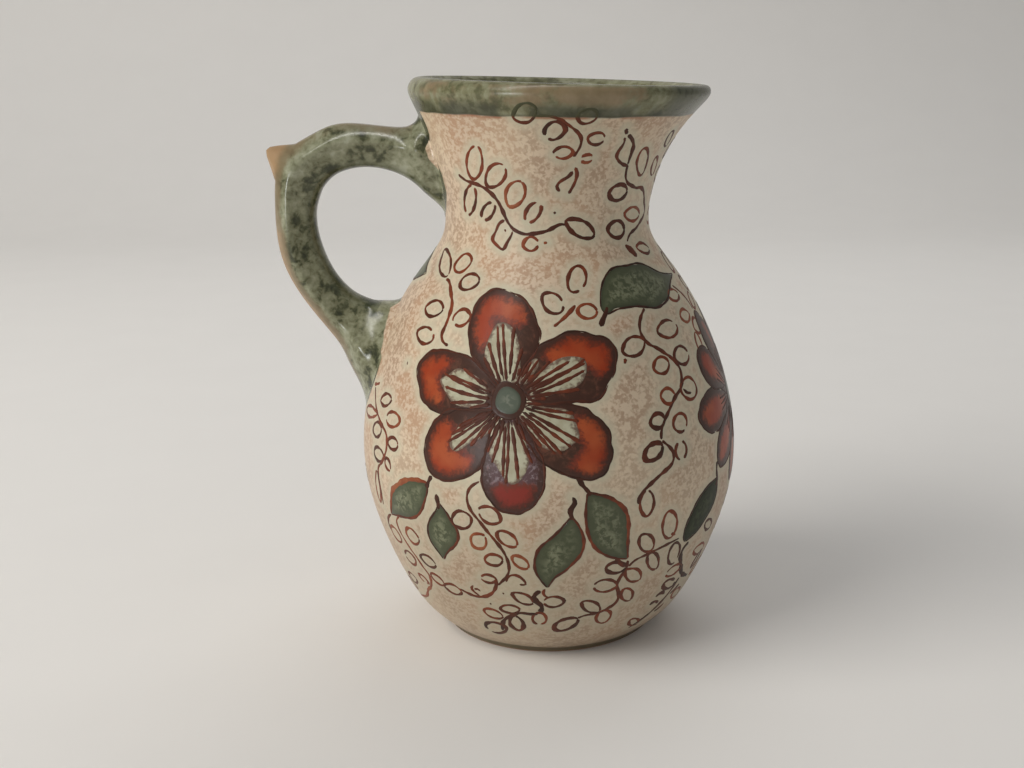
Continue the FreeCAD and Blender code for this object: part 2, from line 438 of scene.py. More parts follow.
def make_piece(name, points, faces, material, slot, **shades):
    """A smooth mesh object that rides on the jug, with its shades as point attributes."""
    mesh = bpy.data.meshes.new(name)
    mesh.from_pydata(np.asarray(points).tolist(), [], faces)
    for key, values in shades.items():
        layer = mesh.attributes.new(key, "FLOAT", "POINT")
        layer.data.foreach_set("value", np.asarray(values, float).ravel())
    work = bmesh.new()
    work.from_mesh(mesh)
    bmesh.ops.recalc_face_normals(work, faces=work.faces)
    work.to_mesh(mesh)
    work.free()
    mesh.shade_smooth()
    mesh.materials.append(material)
    thing = bpy.data.objects.new(name, mesh)
    bpy.context.scene.collection.objects.link(thing)
    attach(thing, "root")
    return thing


def grid_faces(rows, columns, closed=True):
    """Quads of a grid whose points are stored row by row; its rows are rings where closed."""
    faces = []
    for row in range(rows - 1):
        for column in range(columns if closed else columns - 1):
            right = (column + 1) % columns
            faces.append((row * columns + column, row * columns + right,
                          (row + 1) * columns + right, (row + 1) * columns + column))
    return faces


def tube_faces(rows, columns):
    """Quads of a tube made of rings, and its two flat ends."""
    last = (rows - 1) * columns
    return grid_faces(rows, columns) + [
        tuple(range(columns)), tuple(range(last, last + columns))]


def lathe(profile, around):
    """Points, faces, heights and angles of a profile turned round the axis, with flat ends."""
    profile = np.asarray(profile, float)
    angles = np.arange(around) * 360 / around
    radius, turn = np.meshgrid(profile[:, 0], angles, indexing="ij")
    height, _ = np.meshgrid(profile[:, 1], angles, indexing="ij")
    points = turned(radius, turn, height).reshape(-1, 3)
    return points, tube_faces(len(profile), around), height.ravel(), turn.ravel()


# ---------------------------------------------------------------- raised paint

PAINTED = []            # places of all the paint, for the pale halo beside it
SINK = 0.05             # how far a shape's rim lies under the surface that it is painted on
BELOW = -0.4            # where its hidden underside lies, inside the clay
BOLD = 1.3              # how much wider a brush line is than its given width
THICK_LOOP = 1.5        # a loop's line over this width is dark
STROKE_SPACING = 0.9
STROKE_SECTION = [(-1, 0.0), (-0.66, 0.78), (0, 1.0), (0.66, 0.78), (1, 0.0)]
CHART_SPACING = 0.8
FILL_SPACING = 1.1
SOFT_EDGE = 0.45        # over how far a filled shape rises from its rim to its full height


class Paint:
    """A piece of raised paint, gathered from strokes and fills."""

    keys = ("level", "tone", "edge", "glow", "violet")

    def __init__(self):
        self.points = []
        self.faces = []
        self.shades = {key: [] for key in self.keys}
        self.count = 0

    def add(self, points, faces, **shades):
        points = np.asarray(points).reshape(-1, 3)
        self.points.append(points)
        self.faces += [tuple(corner + self.count for corner in face) for face in faces]
        for key in self.keys:
            values = np.zeros(len(points)) + shades.get(key, 0.0)
            self.shades[key].append(values)
        self.count += len(points)

    def make(self, name, material, slot):
        shades = {key: np.concatenate(values) for key, values in self.shades.items()}
        return make_piece(name, np.vstack(self.points), self.faces, material, slot, **shades)


def chart_curve(points, spacing=CHART_SPACING, closed=False):
    """A smooth curve through places on the pot, spaced evenly in millimetres."""
    places = np.array(points, float)
    scale = mm_per_degree(places[:, 1].mean())
    flat = places * (scale, 1)
    length = travelled(np.vstack([flat, flat[:1]]) if closed else flat)[-1]
    count = max(int(length * 1.08 / spacing), 5)
    return smooth_curve(flat, count, closed) / (scale, 1)


def stroke(paint, points, width, tones, base_height=0.0, height=0.08, taper=0.0, seed=0):
    """A brush line with rounded ends and the hand's small changes of width and colour. It
    lies on paint that is base_height thick."""
    rng = random.Random(seed)
    line = chart_curve(points, STROKE_SPACING)
    base = on_pot(line[:, 0], line[:, 1])
    above = unit(on_pot(line[:, 0], line[:, 1], 1.0) - base)
    aside = np.cross(above, unit(np.gradient(base, axis=0)))
    share = np.linspace(0, 1, len(line))
    cycles = max(len(line) * STROKE_SPACING / 9, 1)
    phase = rng.uniform(0, 6)
    slow = np.sin(share * round(cycles) * 2 * math.pi + phase)
    quick = np.sin(share * round(cycles * 2.3) * 2 * math.pi + 2 * phase)
    half = width * BOLD / 2 * (1 + 0.2 * slow + 0.12 * quick)
    half = half * (1 - taper * np.abs(2 * share - 1) ** 2)
    from_end = np.minimum(share, 1 - share) * travelled(base)[-1] / MM / (width * 0.45)
    cap = np.sqrt(1 - (1 - np.clip(from_end, 0, 1)) ** 2)
    half = half * np.maximum(cap, 0.08)
    foot = base_height - SINK
    rise = (height - foot) * np.maximum(cap, 0.05)
    rings = [base + MM * (aside * (half * x)[:, None] + above * (foot + rise * y)[:, None])
             for x, y in STROKE_SECTION]
    rings.append(base + above * BELOW * MM)
    corners = len(rings)
    tone = np.interp(share, np.linspace(0, 1, len(tones)), tones)
    paint.add(np.stack(rings, 1), tube_faces(len(line), corners),
              level=np.repeat(line[:, 1], corners), tone=np.repeat(tone, corners))
    PAINTED.append(base[::2])


def inside_of(outline, places):
    """Which places lie inside a closed outline."""
    start = outline[None, :, :]
    end = np.roll(outline, -1, 0)[None, :, :]
    x = places[:, None, 0]
    y = places[:, None, 1]
    crosses = (start[..., 1] > y) != (end[..., 1] > y)
    rise = np.where(crosses, end[..., 1] - start[..., 1], 1.0)
    at = start[..., 0] + (y - start[..., 1]) / rise * (end[..., 0] - start[..., 0])
    return (crosses & (x < at)).sum(1) % 2 == 1


def nearest(places, cloud):
    """How far each place is from the nearest point of a cloud."""
    return np.linalg.norm(places[:, None] - cloud[None], axis=2).min(1)


def left_of(directions):
    """Unit vectors a quarter turn to the left of flat directions."""
    return unit(np.stack([-directions[:, 1], directions[:, 0]], 1))


def fill(paint, outline, height, base_height=0.0, colouring=None):
    """A closed shape of paint on the pot, meshed as triangles between its rim, a ring just
    inside it and a grid; colouring(flat places, distances from the rim) gives more shades."""
    scale = mm_per_degree(outline[:, 1].mean())
    flat = outline * (scale, 1)
    ends = np.vstack([flat, flat[:1]])
    border = even_points(ends, max(int(travelled(ends)[-1] / FILL_SPACING), 12) + 1)[:-1]
    left = left_of(np.roll(border, -1, 0) - np.roll(border, 1, 0))
    ahead = np.roll(border, -1, 0)
    area = (border[:, 0] * ahead[:, 1] - ahead[:, 0] * border[:, 1]).sum()
    inset = border + left * (SOFT_EDGE if area > 0 else -SOFT_EDGE)
    low = border.min(0)
    high = border.max(0)
    columns = np.arange(low[0], high[0], FILL_SPACING)
    rows = np.arange(low[1], high[1], FILL_SPACING * 0.866)
    grid = np.array([(x + (row % 2) * FILL_SPACING / 2, y)
                     for row, y in enumerate(rows) for x in columns])
    far = nearest(grid, border) > SOFT_EDGE + 0.45 * FILL_SPACING
    grid = grid[inside_of(border, grid) & far]
    inset = inset[inside_of(border, inset) & (nearest(inset, border) > 0.6 * SOFT_EDGE)]
    places = np.vstack([border, inset, grid])
    found = delaunay_2d_cdt([Vector(p) for p in places], [], [list(range(len(border)))], 1, 1e-6)
    places = np.array([tuple(p) for p in found[0]])
    away = nearest(places, border)
    foot = base_height - SINK
    rounding = np.sqrt(1 - (1 - np.clip(away / SOFT_EDGE, 0, 1)) ** 2)
    chart = places / (scale, 1)
    upper = on_pot(chart[:, 0], chart[:, 1], foot + (height - foot) * rounding)
    rim = away < 1e-4
    under_of = np.arange(len(places))
    under_of[~rim] = len(places) + np.arange((~rim).sum())
    under = on_pot(chart[~rim, 0], chart[~rim, 1], BELOW)
    faces = [tuple(face) for face in found[2]]
    faces += [tuple(int(under_of[corner]) for corner in reversed(face)) for face in found[2]]
    shades = {"edge": away / 10, "level": chart[:, 1]}
    if colouring:
        shades.update(colouring(places, away))
    both = {key: np.concatenate([values, values[~rim]]) for key, values in shades.items()}
    paint.add(np.vstack([upper, under]), faces, **both)
    PAINTED.append(upper[rim])
    PAINTED.append(upper[~rim][::3])


def mirrored(places, back):
    """The same places, or for the back of the pot their mirror image in the pouring side."""
    return [(180 - angle, height) for angle, height in places] if back else list(places)


def leaflet(paint, back, rng, angle, height, length, width, tilt, gap=None, thick=1.3):
    """A loop drawn by hand round its middle. Its line leaves an opening at the angle gap. Where gap
    is None it runs on over its start, and where gap is "ends" it is two separate sides."""
    if back:
        angle = 180 - angle
        tilt = 180 - tilt
        if gap not in (None, "ends"):
            gap = 180 - gap
    scale = mm_per_degree(height)
    lean = math.radians(tilt + rng.uniform(-5, 5))
    uneven = rng.uniform(-0.12, 0.12)
    bulge = rng.uniform(-0.07, 0.07)
    point = rng.uniform(0.05, 0.4)

    def at(degrees):
        turn = math.radians(degrees)
        x = length / 2 * math.cos(turn) * (1 + bulge * math.sin(2 * turn))
        y = width / 2 * math.sin(turn) * abs(math.sin(turn)) ** point
        y *= 1 + uneven * math.cos(turn)
        return (angle + (x * math.cos(lean) - y * math.sin(lean)) / scale,
                height + x * math.sin(lean) + y * math.cos(lean))

    first = rng.uniform(0.25, 0.6)
    tones = (first, first + rng.uniform(-0.2, 0.25), first + rng.uniform(-0.1, 0.3))
    if thick > THICK_LOOP:
        tones = (0.75, 0.6, 0.95)
    if gap == "ends":
        for half in (0, 180):
            arc = [at(half + step) for step in np.linspace(16, 164, 7)]
            stroke(paint, arc, thick, tones, taper=0.15, seed=rng.random())
        return
    start = (tilt if gap is None else gap) - tilt
    opening = rng.uniform(-38, -14) if gap is None else 14
    arc = [at(start + opening / 2 + step) for step in np.linspace(0, 360 - opening, 15)]
    stroke(paint, arc, thick, tones, taper=0.3, seed=rng.random())


def sprig(name, stems, leaflets, back=False):
    """A painted twig: stems as (places, width, tone), and what leaflet() says of each loop."""
    rng = random.Random(name)
    paint = Paint()
    for places, width, tone in stems:
        stroke(paint, mirrored(places, back), width, (tone, tone - 0.15, tone + 0.1), taper=0.3,
               seed=rng.random())
    for entry in leaflets:
        leaflet(paint, back, rng, *entry)
    paint.make(name, LINE, "paint_brown")


SPRIGS = {
    "neck_sprig": (
        [([(-50, 194), (-45, 192), (-40, 191), (-35.5, 190.3), (-30, 188), (-26, 185),
           (-23, 180.5), (-20.5, 176.5), (-17.5, 173.8)], 1.5, 0.7),
         ([(-19, 174.6), (-12, 172.3), (-5, 172.6), (2, 174), (9, 175.8), (10.5, 175.3)], 1.5, 0.8),
         ([(-22, 177.5), (-25.5, 176), (-28, 172.5), (-29.5, 170), (-26, 167.5), (-22.5, 166.3),
           (-21, 168.5), (-18.5, 172), (-18, 173.5)], 1.3, 0.6),
         ([(-22.8, 173.2), (-21.6, 173.6)], 1.3, 0.7),
         ([(3.6, 180), (5.0, 180.7)], 1.1, 0.8),
         ([(-1.8, 168.9), (0.6, 169.1)], 1.0, 0.3)],
        [(-37, 199, 13.7, 7.5, 65, 75), (-26, 194.3, 11.3, 7, 47, 40), (-16, 187.5, 11, 7.3, 62),
         (-7, 180.5, 9, 5, 56, "ends"), (-43.7, 184.3, 13.5, 6, 58, "ends"),
         (-32, 180.5, 9.2, 4.5, 50, "ends"), (-8.2, 168.6, 6, 5.2, 20, 0),
         (18, 174, 12.9, 6, -25, None, 1.6)]),
    "rim_sprig": (
        [([(-8, 217), (-3, 217), (1, 216), (6, 213.5), (10, 211), (12.5, 208), (12.5, 205),
           (10.5, 201.5)], 1.3, 0.6),
         ([(6.8, 188.3), (4.8, 190.5), (6.5, 192.5), (10, 194.3), (11.8, 196.5)], 1.4, 0.7),
         ([(12.3, 198), (13.8, 195.5), (13.3, 191.5), (10.7, 187.3)], 1.4, 0.5)],
        [(-12, 217.8, 9, 7, 15), (0.5, 211.6, 7.8, 6.8, 0, 225, 1.6), (11.8, 217, 7.5, 5.5, 0),
         (5.8, 203.4, 7.3, 4.6, 0, 215), (18.8, 208.6, 6.8, 4.6, 0, 0),
         (17.2, 201, 5, 3.2, 0, "ends")]),
    "neck_side_sprig": (
        [([(30.5, 212.5), (31.4, 211), (33, 210)], 1.7, 0.9),
         ([(33, 210), (36.5, 208), (39, 205.5), (40, 202), (40.5, 197.5)], 1.6, 0.8),
         ([(31.8, 209), (33, 207), (32.3, 204.5), (31.8, 202), (33.5, 200), (37, 198.3),
           (41, 197.3)], 1.4, 0.6),
         ([(40.5, 198), (41, 195), (42.5, 192), (45, 190.2), (49, 189), (52.5, 188), (56, 188),
           (60, 187), (63.5, 184.5), (66.5, 181), (69, 178), (68, 176), (63.5, 174),
           (58, 171.8), (52, 170.3), (49, 168.8), (47, 167)], 1.4, 0.7),
         ([(44.5, 166.5), (46.5, 165), (48.5, 163.5), (50, 161)], 2.6, 0.6)],
        [(50.5, 198.5, 12.5, 6, -60), (39.4, 187, 9.3, 6.4, 0, None, 1.7),
         (40.5, 172.5, 8.7, 6.6, 0, None, 1.7), (54, 177.5, 11, 5.5, -8),
         (59, 163.8, 9.3, 4, -10), (65, 196, 9, 4.5, -60), (66, 207, 8, 4.5, -50)]),
    "shoulder_twig": (
        [([(2, 140), (6, 143), (11, 147.5)], 1.4, 0.5)],
        [(13, 156, 10, 6.5, 55, 300), (2, 148.3, 9, 6.5, -35, 0), (15, 145, 7.5, 5, 0)]),
    "belly_sprig": (
        [([(39.5, 144), (36, 141), (34.2, 138), (34, 135), (35.5, 132), (39, 129.5), (42, 127),
           (45, 124), (46.5, 121), (46.3, 117.5), (45, 114), (42, 111.5), (39, 108),
           (36.5, 104.5), (34.5, 100.5), (34, 98), (34, 96.5)], 1.5, 0.7),
         ([(34, 96.5), (36.5, 93.5), (38, 90.5), (37.5, 87.3), (34.5, 84.5), (31, 81.8),
           (28, 79), (26, 76), (25.8, 73)], 1.5, 0.7),
         ([(25.8, 127.9), (25, 125.7)], 1.2, 0.5),
         ([(45.5, 113.5), (47.5, 111.3), (49.5, 111)], 1.1, 0.8)],
        [(29.8, 131.5, 11, 6.5, 10), (47, 135.2, 12.6, 6.2, 3, 30), (38.8, 123.3, 8.5, 6, 5),
         (49.5, 125, 9.5, 6.8, 0, 0), (38.8, 112, 7.5, 5.8, 0), (48.5, 112.7, 10, 8.3, 0),
         (33.3, 103.9, 6.8, 5.4, 0, None, 1.6), (41.8, 101.3, 7.6, 7, 0, 315),
         (31, 92.8, 9, 6, 15, None, 1.9), (41, 90.8, 7.3, 6, 90, "ends"),
         (28.6, 73, 11, 6.3, 90, 80)]),
    "belly_edge_sprig": (
        [([(64, 149), (68, 146), (71, 142), (72, 138)], 1.2, 0.5)],
        [(60.8, 145.8, 9, 4.5, 0), (61.5, 137.8, 8.5, 4.8, 0), (63, 126.5, 9, 5, 80),
         (67.5, 132.8, 8, 6, 0), (75, 131, 8, 5, 70), (77, 141, 8.5, 5, 30)]),
    "low_side_sprig": (
        [([(25, 46), (27, 48.5), (30, 49.8), (33, 50.8), (37, 52), (41, 53), (43.5, 53.5)],
          1.3, 0.7),
         ([(20, 51.5), (21.5, 49), (24, 46)], 1.6, 0.6),
         ([(24.3, 49.5), (24.5, 46), (23.5, 43), (22.5, 40), (22.5, 37), (23.5, 34), (24, 31),
           (23.3, 28.5), (21, 26.5), (19, 25.3), (16, 24.5), (12.5, 24), (10, 22.8)], 1.5, 0.65),
         ([(38.8, 57.3), (41.2, 55.7)], 1.2, 0.6),
         ([(-1, 39), (-1.8, 37.5), (-1.5, 35.5), (0, 34.3)], 1.1, 0.5)],
        [(30, 55.7, 10.2, 6, -58), (37.8, 61.3, 13, 7.5, -78), (34.2, 46, 10.4, 5, -60),
         (43, 46.5, 11, 6.5, -78, 315), (21, 46.6, 9, 5.2, -10, None, 1.6),
         (27.5, 41.5, 10, 5.5, -38), (18.3, 38.4, 10, 6, -8, 180), (27.2, 31.8, 8, 4.8, -50),
         (14.5, 28.4, 10, 5, -33), (20.1, 22, 7.5, 6.2, -70), (6.2, 19.8, 10.3, 6, 32, None, 1.8),
         (1.6, 32.2, 8, 5.4, 10, 180)]),
    "low_front_sprig": (
        [([(-2.5, 38), (-4, 36.5), (-5, 34), (-4, 32), (-2.8, 30.5), (-2.5, 28.5),
           (-3.5, 26.5)], 2.2, 0.95),
         ([(-3.5, 26), (-6, 25.5), (-10, 25.8), (-14, 23.5), (-17, 20.5), (-18, 18),
           (-19, 14)], 1.7, 0.85),
         ([(-20.9, 29), (-20.1, 29)], 1.2, 0.9), ([(-15.4, 35.3), (-14.6, 35.4)], 1.1, 0.7)],
        [(-3.5, 23.2, 6.6, 5.5, 90, 270), (-8.7, 33.6, 9, 5, -28), (-13.7, 27.4, 8, 4.3, 0),
         (-12.2, 19.8, 8.4, 5.6, 85, None, 1.7), (-21.5, 15.3, 9.5, 6.5, 20, 225, 1.7),
         (-20.5, 23.6, 8, 4.8, -10)]),
    "low_edge_sprig": (
        [([(49.5, 49.5), (47.5, 47.5), (47, 44.5), (48.5, 40.5), (50.5, 36.5), (53, 33),
           (56, 30.8), (60, 29)], 2.1, 0.95),
         ([(52.5, 31.5), (51.5, 27.5), (49.5, 23.5), (46.5, 19.5), (43, 16), (39, 13),
           (35.5, 10.5)], 1.8, 0.85),
         ([(47, 25), (44.5, 27), (41.5, 25.5)], 1.8, 0.8),
         ([(45.5, 21), (43, 23), (40, 22)], 1.7, 0.8),
         ([(56, 27), (54, 24.5), (51, 23.5)], 1.8, 0.8),
         ([(51, 19.5), (49, 17), (46, 16.5)], 1.7, 0.7)],
        [(46.3, 37.3, 9.5, 5, 0, 180), (47, 30.2, 9, 4.6, -25, 20, 1.7), (36.6, 14, 8, 3.6, -35),
         (62, 36, 8, 3.6, 60, None, 1.7),
         (60, 52.8, 9, 4.5, -25), (60, 41.5, 12, 5, -15), (66, 31, 9, 5, 40), (58, 21, 9, 5, -30)]),
    "low_left_twig": (
        [([(-19, 84), (-22, 81), (-23, 77), (-22, 72), (-20, 68.5), (-17.5, 64), (-15, 59.5),
           (-13, 55), (-12, 50), (-12.3, 46), (-14, 42.5), (-16.5, 39)], 1.25, 0.65),
         ([(-16.5, 42.5), (-17, 39), (-18.5, 35.5), (-21, 33), (-24, 31.8), (-27, 32),
           (-29.5, 33), (-31.5, 34)], 1.5, 0.6),
         ([(-13.5, 41), (-12.5, 44), (-10.5, 45), (-8.3, 43.5), (-7.3, 40.8),
         (-9.5, 40.6)], 1.2, 0.6),
         ([(-25, 37.5), (-26.3, 35.5), (-25, 33.3), (-23.5, 32)], 1.1, 0.6),
         ([(-25.5, 35), (-24, 35.8), (-23, 34.5)], 1.0, 0.6)],
        [(-16.5, 70.8, 9.5, 6.8, -25, 180), (-25.2, 67.3, 9, 7.3, 35), (-20.4, 59.2, 7.5, 6.5, 40),
         (-11.8, 61.3, 9, 5.5, -35), (-16.5, 51.3, 7.3, 5.2, 5), (-8.4, 51.2, 7.6, 4.6, -42),
         (-19.2, 41.9, 6.5, 4, 0, 180), (-34.6, 32.6, 8.6, 5, 0), (-40.7, 35.3, 7, 4.5, -30)]),
    "low_outer_sprig": (
        [([(-50.5, 61), (-53, 58), (-53, 54), (-51.5, 50), (-49.5, 46), (-47.5, 42.5), (-46, 39),
           (-44.5, 36), (-45, 32.5), (-47, 29), (-50, 26.5), (-53, 23), (-57, 20), (-62, 18),
           (-70, 15), (-80, 12)], 1.3, 0.35),
         ([(-55.5, 60), (-58, 58), (-60, 55), (-60.5, 50.5)], 1.2, 0.6)],
        [(-46, 53.8, 8, 7.3, 0), (-42, 43.8, 8.5, 5.5, -10), (-56.8, 50.3, 8, 6.5, -20),
         (-52.6, 41, 8, 6.5, 0, 180), (-49.5, 32, 6, 3.5, -15, 270), (-60, 28, 8, 5, 20),
         (-66, 23, 8, 4.6, -20)]),
    "shoulder_sprig": (
        [([(-50, 154), (-47, 153.3), (-44, 151), (-41, 148), (-39.3, 145.5), (-38.8, 142),
           (-39, 138), (-39.3, 135), (-38, 132.8), (-35, 131.5)], 1.5, 0.5),
         ([(-52.3, 122.2), (-51.6, 122.4)], 1.2, 0.9)],
        [(-58, 159.2, 16, 5.5, -33), (-44, 160.2, 8.5, 6.8, 10),
         (-35.2, 154.2, 8.8, 5.6, 12), (-48.3, 143.3, 11, 5.8, 0),
         (-47.5, 133.6, 11, 5.8, -3, 45), (-32.8, 141.8, 8, 6, 15, 225)]),
    "belly_left_sprig": (
        [([(-66.5, 111), (-70, 109.5), (-72.5, 109)], 1.3, 0.4),
         ([(-70.5, 108.5), (-68, 105), (-65, 101), (-62, 98.5), (-58.5, 96), (-55.5, 93.5),
           (-54.8, 90.5), (-55, 87), (-56, 84.5), (-58, 81), (-60, 78.5), (-60, 72),
           (-59.8, 66), (-60, 62)], 1.4, 0.5)],
        [(-59.2, 106.3, 9.5, 4.8, 15), (-53, 100.3, 10, 5.8, 8, 180), (-51.5, 91.2, 7.3, 4.8, 0),
         (-62.2, 93.4, 9, 6, 15), (-59.8, 84, 9.5, 5.6, 0), (-53.8, 82, 5.5, 4, -40),
         (-70.5, 98, 18, 4.5, 12), (-62, 69.5, 14, 4.5, 80)]),
}

# Twigs on the parts that no mirrored pair covers: the pouring side and under the handle
SINGLE_SPRIGS = {
    "pouring_neck_sprig": (
        [([(86, 209), (88, 204), (87, 199), (90, 194), (94, 190), (95, 185), (91, 180),
           (89, 175), (91, 169)], 1.4, 0.7)],
        [(79, 203, 9.5, 5.5, 50), (96, 204, 10, 6, -40), (80, 192, 9, 6, -20),
         (101, 195, 8.5, 5.5, 30, 30),
         (86, 186, 8, 5.5, 10), (103, 183, 9.5, 6, -15), (81, 175, 9, 5.5, 35, 180),
         (99, 172, 9, 6, 20)]),
    "pouring_shoulder_sprig": (
        [([(84, 163), (88, 158), (91, 153), (90, 147)], 1.4, 0.6)],
        [(80, 156, 9, 6, 60), (97, 158, 10, 6, -25), (98, 148, 8.5, 5.5, 20, 0),
         (83, 147, 8, 5.5, -30)]),
    "pouring_low_sprig": (
        [([(84, 62), (86, 56), (85, 50), (82, 44), (83, 37), (87, 31), (88, 24),
         (85, 17)], 1.5, 0.75),
         ([(86, 56), (90, 52), (93, 47)], 1.3, 0.6)],
        [(78, 58, 9, 5.5, 30), (93, 58, 10, 6, 50), (76, 47, 9.5, 6, -15), (97, 42, 9, 6, -45, 315),
         (90, 39, 8, 5, 30), (75, 35, 10, 6, 20), (94, 29, 9, 5.5, -20), (79, 25, 9, 5.5, 10, 180),
         (93, 17, 9, 5, 35)]),
    "root_low_sprig": (
        [([(-93, 84), (-95, 78), (-94, 71), (-90, 65), (-88, 58), (-90, 50), (-94, 43), (-95, 35),
           (-91, 28)], 1.5, 0.6),
         ([(-90, 65), (-85, 61), (-82, 56)], 1.3, 0.5)],
        [(-101, 77, 9.5, 5.5, -30), (-87, 75, 10, 6, 40), (-102, 65, 9, 6, 10),
         (-80, 68, 9.5, 6, 50, 45),
         (-97, 54, 9, 5.5, -25), (-81, 47, 10, 6, -60), (-101, 42, 8.5, 5.5, 15, 180),
         (-87, 38, 9, 5.5, 30), (-100, 30, 9, 5, -10), (-84, 25, 9.5, 5.5, 45)]),
    "under_handle_sprig": (
        [([(-97, 168), (-101, 165), (-106, 164.5), (-111, 167)], 1.3, 0.6)],
        [(-94, 172, 8, 5, 40), (-103, 171, 7.5, 5, 80, 90), (-115, 172, 8, 5, 60)]),
}


def leaf(name, sides, stem, outlines, back=False, material=LEAF):
    """A sponged green leaf: two smooth sides from stem to tip and back, a stem and brown
    edges. The second side's ends are the first one's."""
    first, second = (mirrored(side, back) for side in sides)
    sides = [first, first[-1:] + second + first[:1]]
    outline = np.vstack([chart_curve(side)[:-1] for side in sides])
    paint = Paint()
    fill(paint, brushed_edge(outline, name), 0.07)
    paint.make(name, material, "paint_green")
    lines = Paint()
    rng = random.Random(name)
    stroke(lines, mirrored(stem, back), 1.6, (0.95, 0.8), height=0.12, seed=rng.random())
    for side, width, tones in outlines:
        stroke(lines, sides[side], width, tones, base_height=0.02, height=0.14, taper=0.5,
               seed=rng.random())
    lines.make(name + "_line", LINE, "paint_brown")


LEAVES = {
    "leaf_shoulder": (
        [[(20.5, 145.5), (22, 143.8), (26, 144.5), (30, 145), (35, 145), (40, 144.3),
          (45, 143.3), (50, 143.8), (55, 145.3), (59, 147.5), (63, 149.5), (73, 152.3)],
         [(66, 153.2), (61, 154.3), (57, 156), (52, 158.3), (46, 159.3), (40, 159),
          (33, 159), (29, 157.8), (25, 155), (22, 151)]],
        [(18.8, 139.3), (20.2, 141.6), (22, 144), (23.5, 146.5)],
        [(0, 0.9, (0.95, 0.9)), (1, 0.8, (0.95, 0.95))]),
    "leaf_low_left": (
        [[(-36, 80), (-36.3, 76), (-37.5, 72), (-39, 68), (-41, 65), (-44, 62.8), (-49, 61.5),
          (-55.5, 60)],
         [(-53.5, 67), (-52, 71.5), (-49, 75), (-45, 78.3), (-40, 80)]],
        [(-34.3, 83.3), (-35.3, 81.5), (-36.2, 79), (-37, 77.5)],
        [(0, 1.1, (0.7, 0.5, 0.6)), (1, 1.9, (0.5, 0.15, 0.1, 0.4))]),
    "leaf_small": (
        [[(-32.5, 73), (-30, 69.5), (-28.5, 66), (-27, 62.5), (-27, 59), (-28.5, 55.5),
          (-31, 52.5), (-33, 49.5), (-34.2, 47.2)],
         [(-35.5, 50), (-37.5, 54), (-38, 58), (-37, 63), (-35.5, 66),
          (-33.5, 69.5)]],
        [(-33, 76.5), (-32.8, 74), (-32.5, 72), (-32.6, 69.5)],
        [(0, 1.1, (0.9, 0.5, 0.7)), (1, 0.8, (0.9, 0.8))]),
    "leaf_middle": (
        [[(6.3, 71), (8, 68), (9.5, 63.5), (10, 58.5), (9, 54), (7, 50.5), (4.5, 47), (2, 44.5),
          (0.3, 41), (-0.5, 39.3)],
         [(-2.3, 42.5), (-4, 47.5), (-4, 53), (-2.5, 58), (0.5, 62), (3, 65.5),
          (5, 69)]],
        [(6.5, 79), (7.2, 76.5), (6, 73.5), (6.3, 71), (6.5, 69)],
        [(0, 1.2, (0.7, 0.4, 0.6, 0.8)), (1, 1.1, (0.9, 0.6, 0.8))]),
    "leaf_right": (
        [[(10.8, 80.3), (13.5, 79.3), (17, 77.5), (20, 74.5), (22, 71), (23, 66), (23.3, 60),
          (23.8, 54), (24.3, 50)],
         [(20, 51.3), (16.5, 53.5), (13.5, 57), (11.5, 62), (10.5, 68),
          (10.3, 74)]],
        [(8, 87), (9.5, 83), (11, 80.5), (11.8, 78.5)],
        [(0, 1.5, (0.8, 0.35, 0.3, 0.5)), (1, 1.2, (0.7, 0.4, 0.7))]),
    "leaf_low_right": (
        [[(59.5, 74), (59.8, 70), (60, 66), (58, 60), (55, 56), (53, 53.5), (50, 51.5),
          (47, 50.3)],
         [(45.8, 52), (45, 56.5), (45.8, 61), (47.5, 65.5), (50, 69.5),
          (54, 72.5)]],
        [(59, 81), (58.6, 77), (59.3, 73), (58.5, 70)],
        [(0, 1.0, (0.95, 0.9)), (1, 1.0, (0.95, 0.9))]),
}


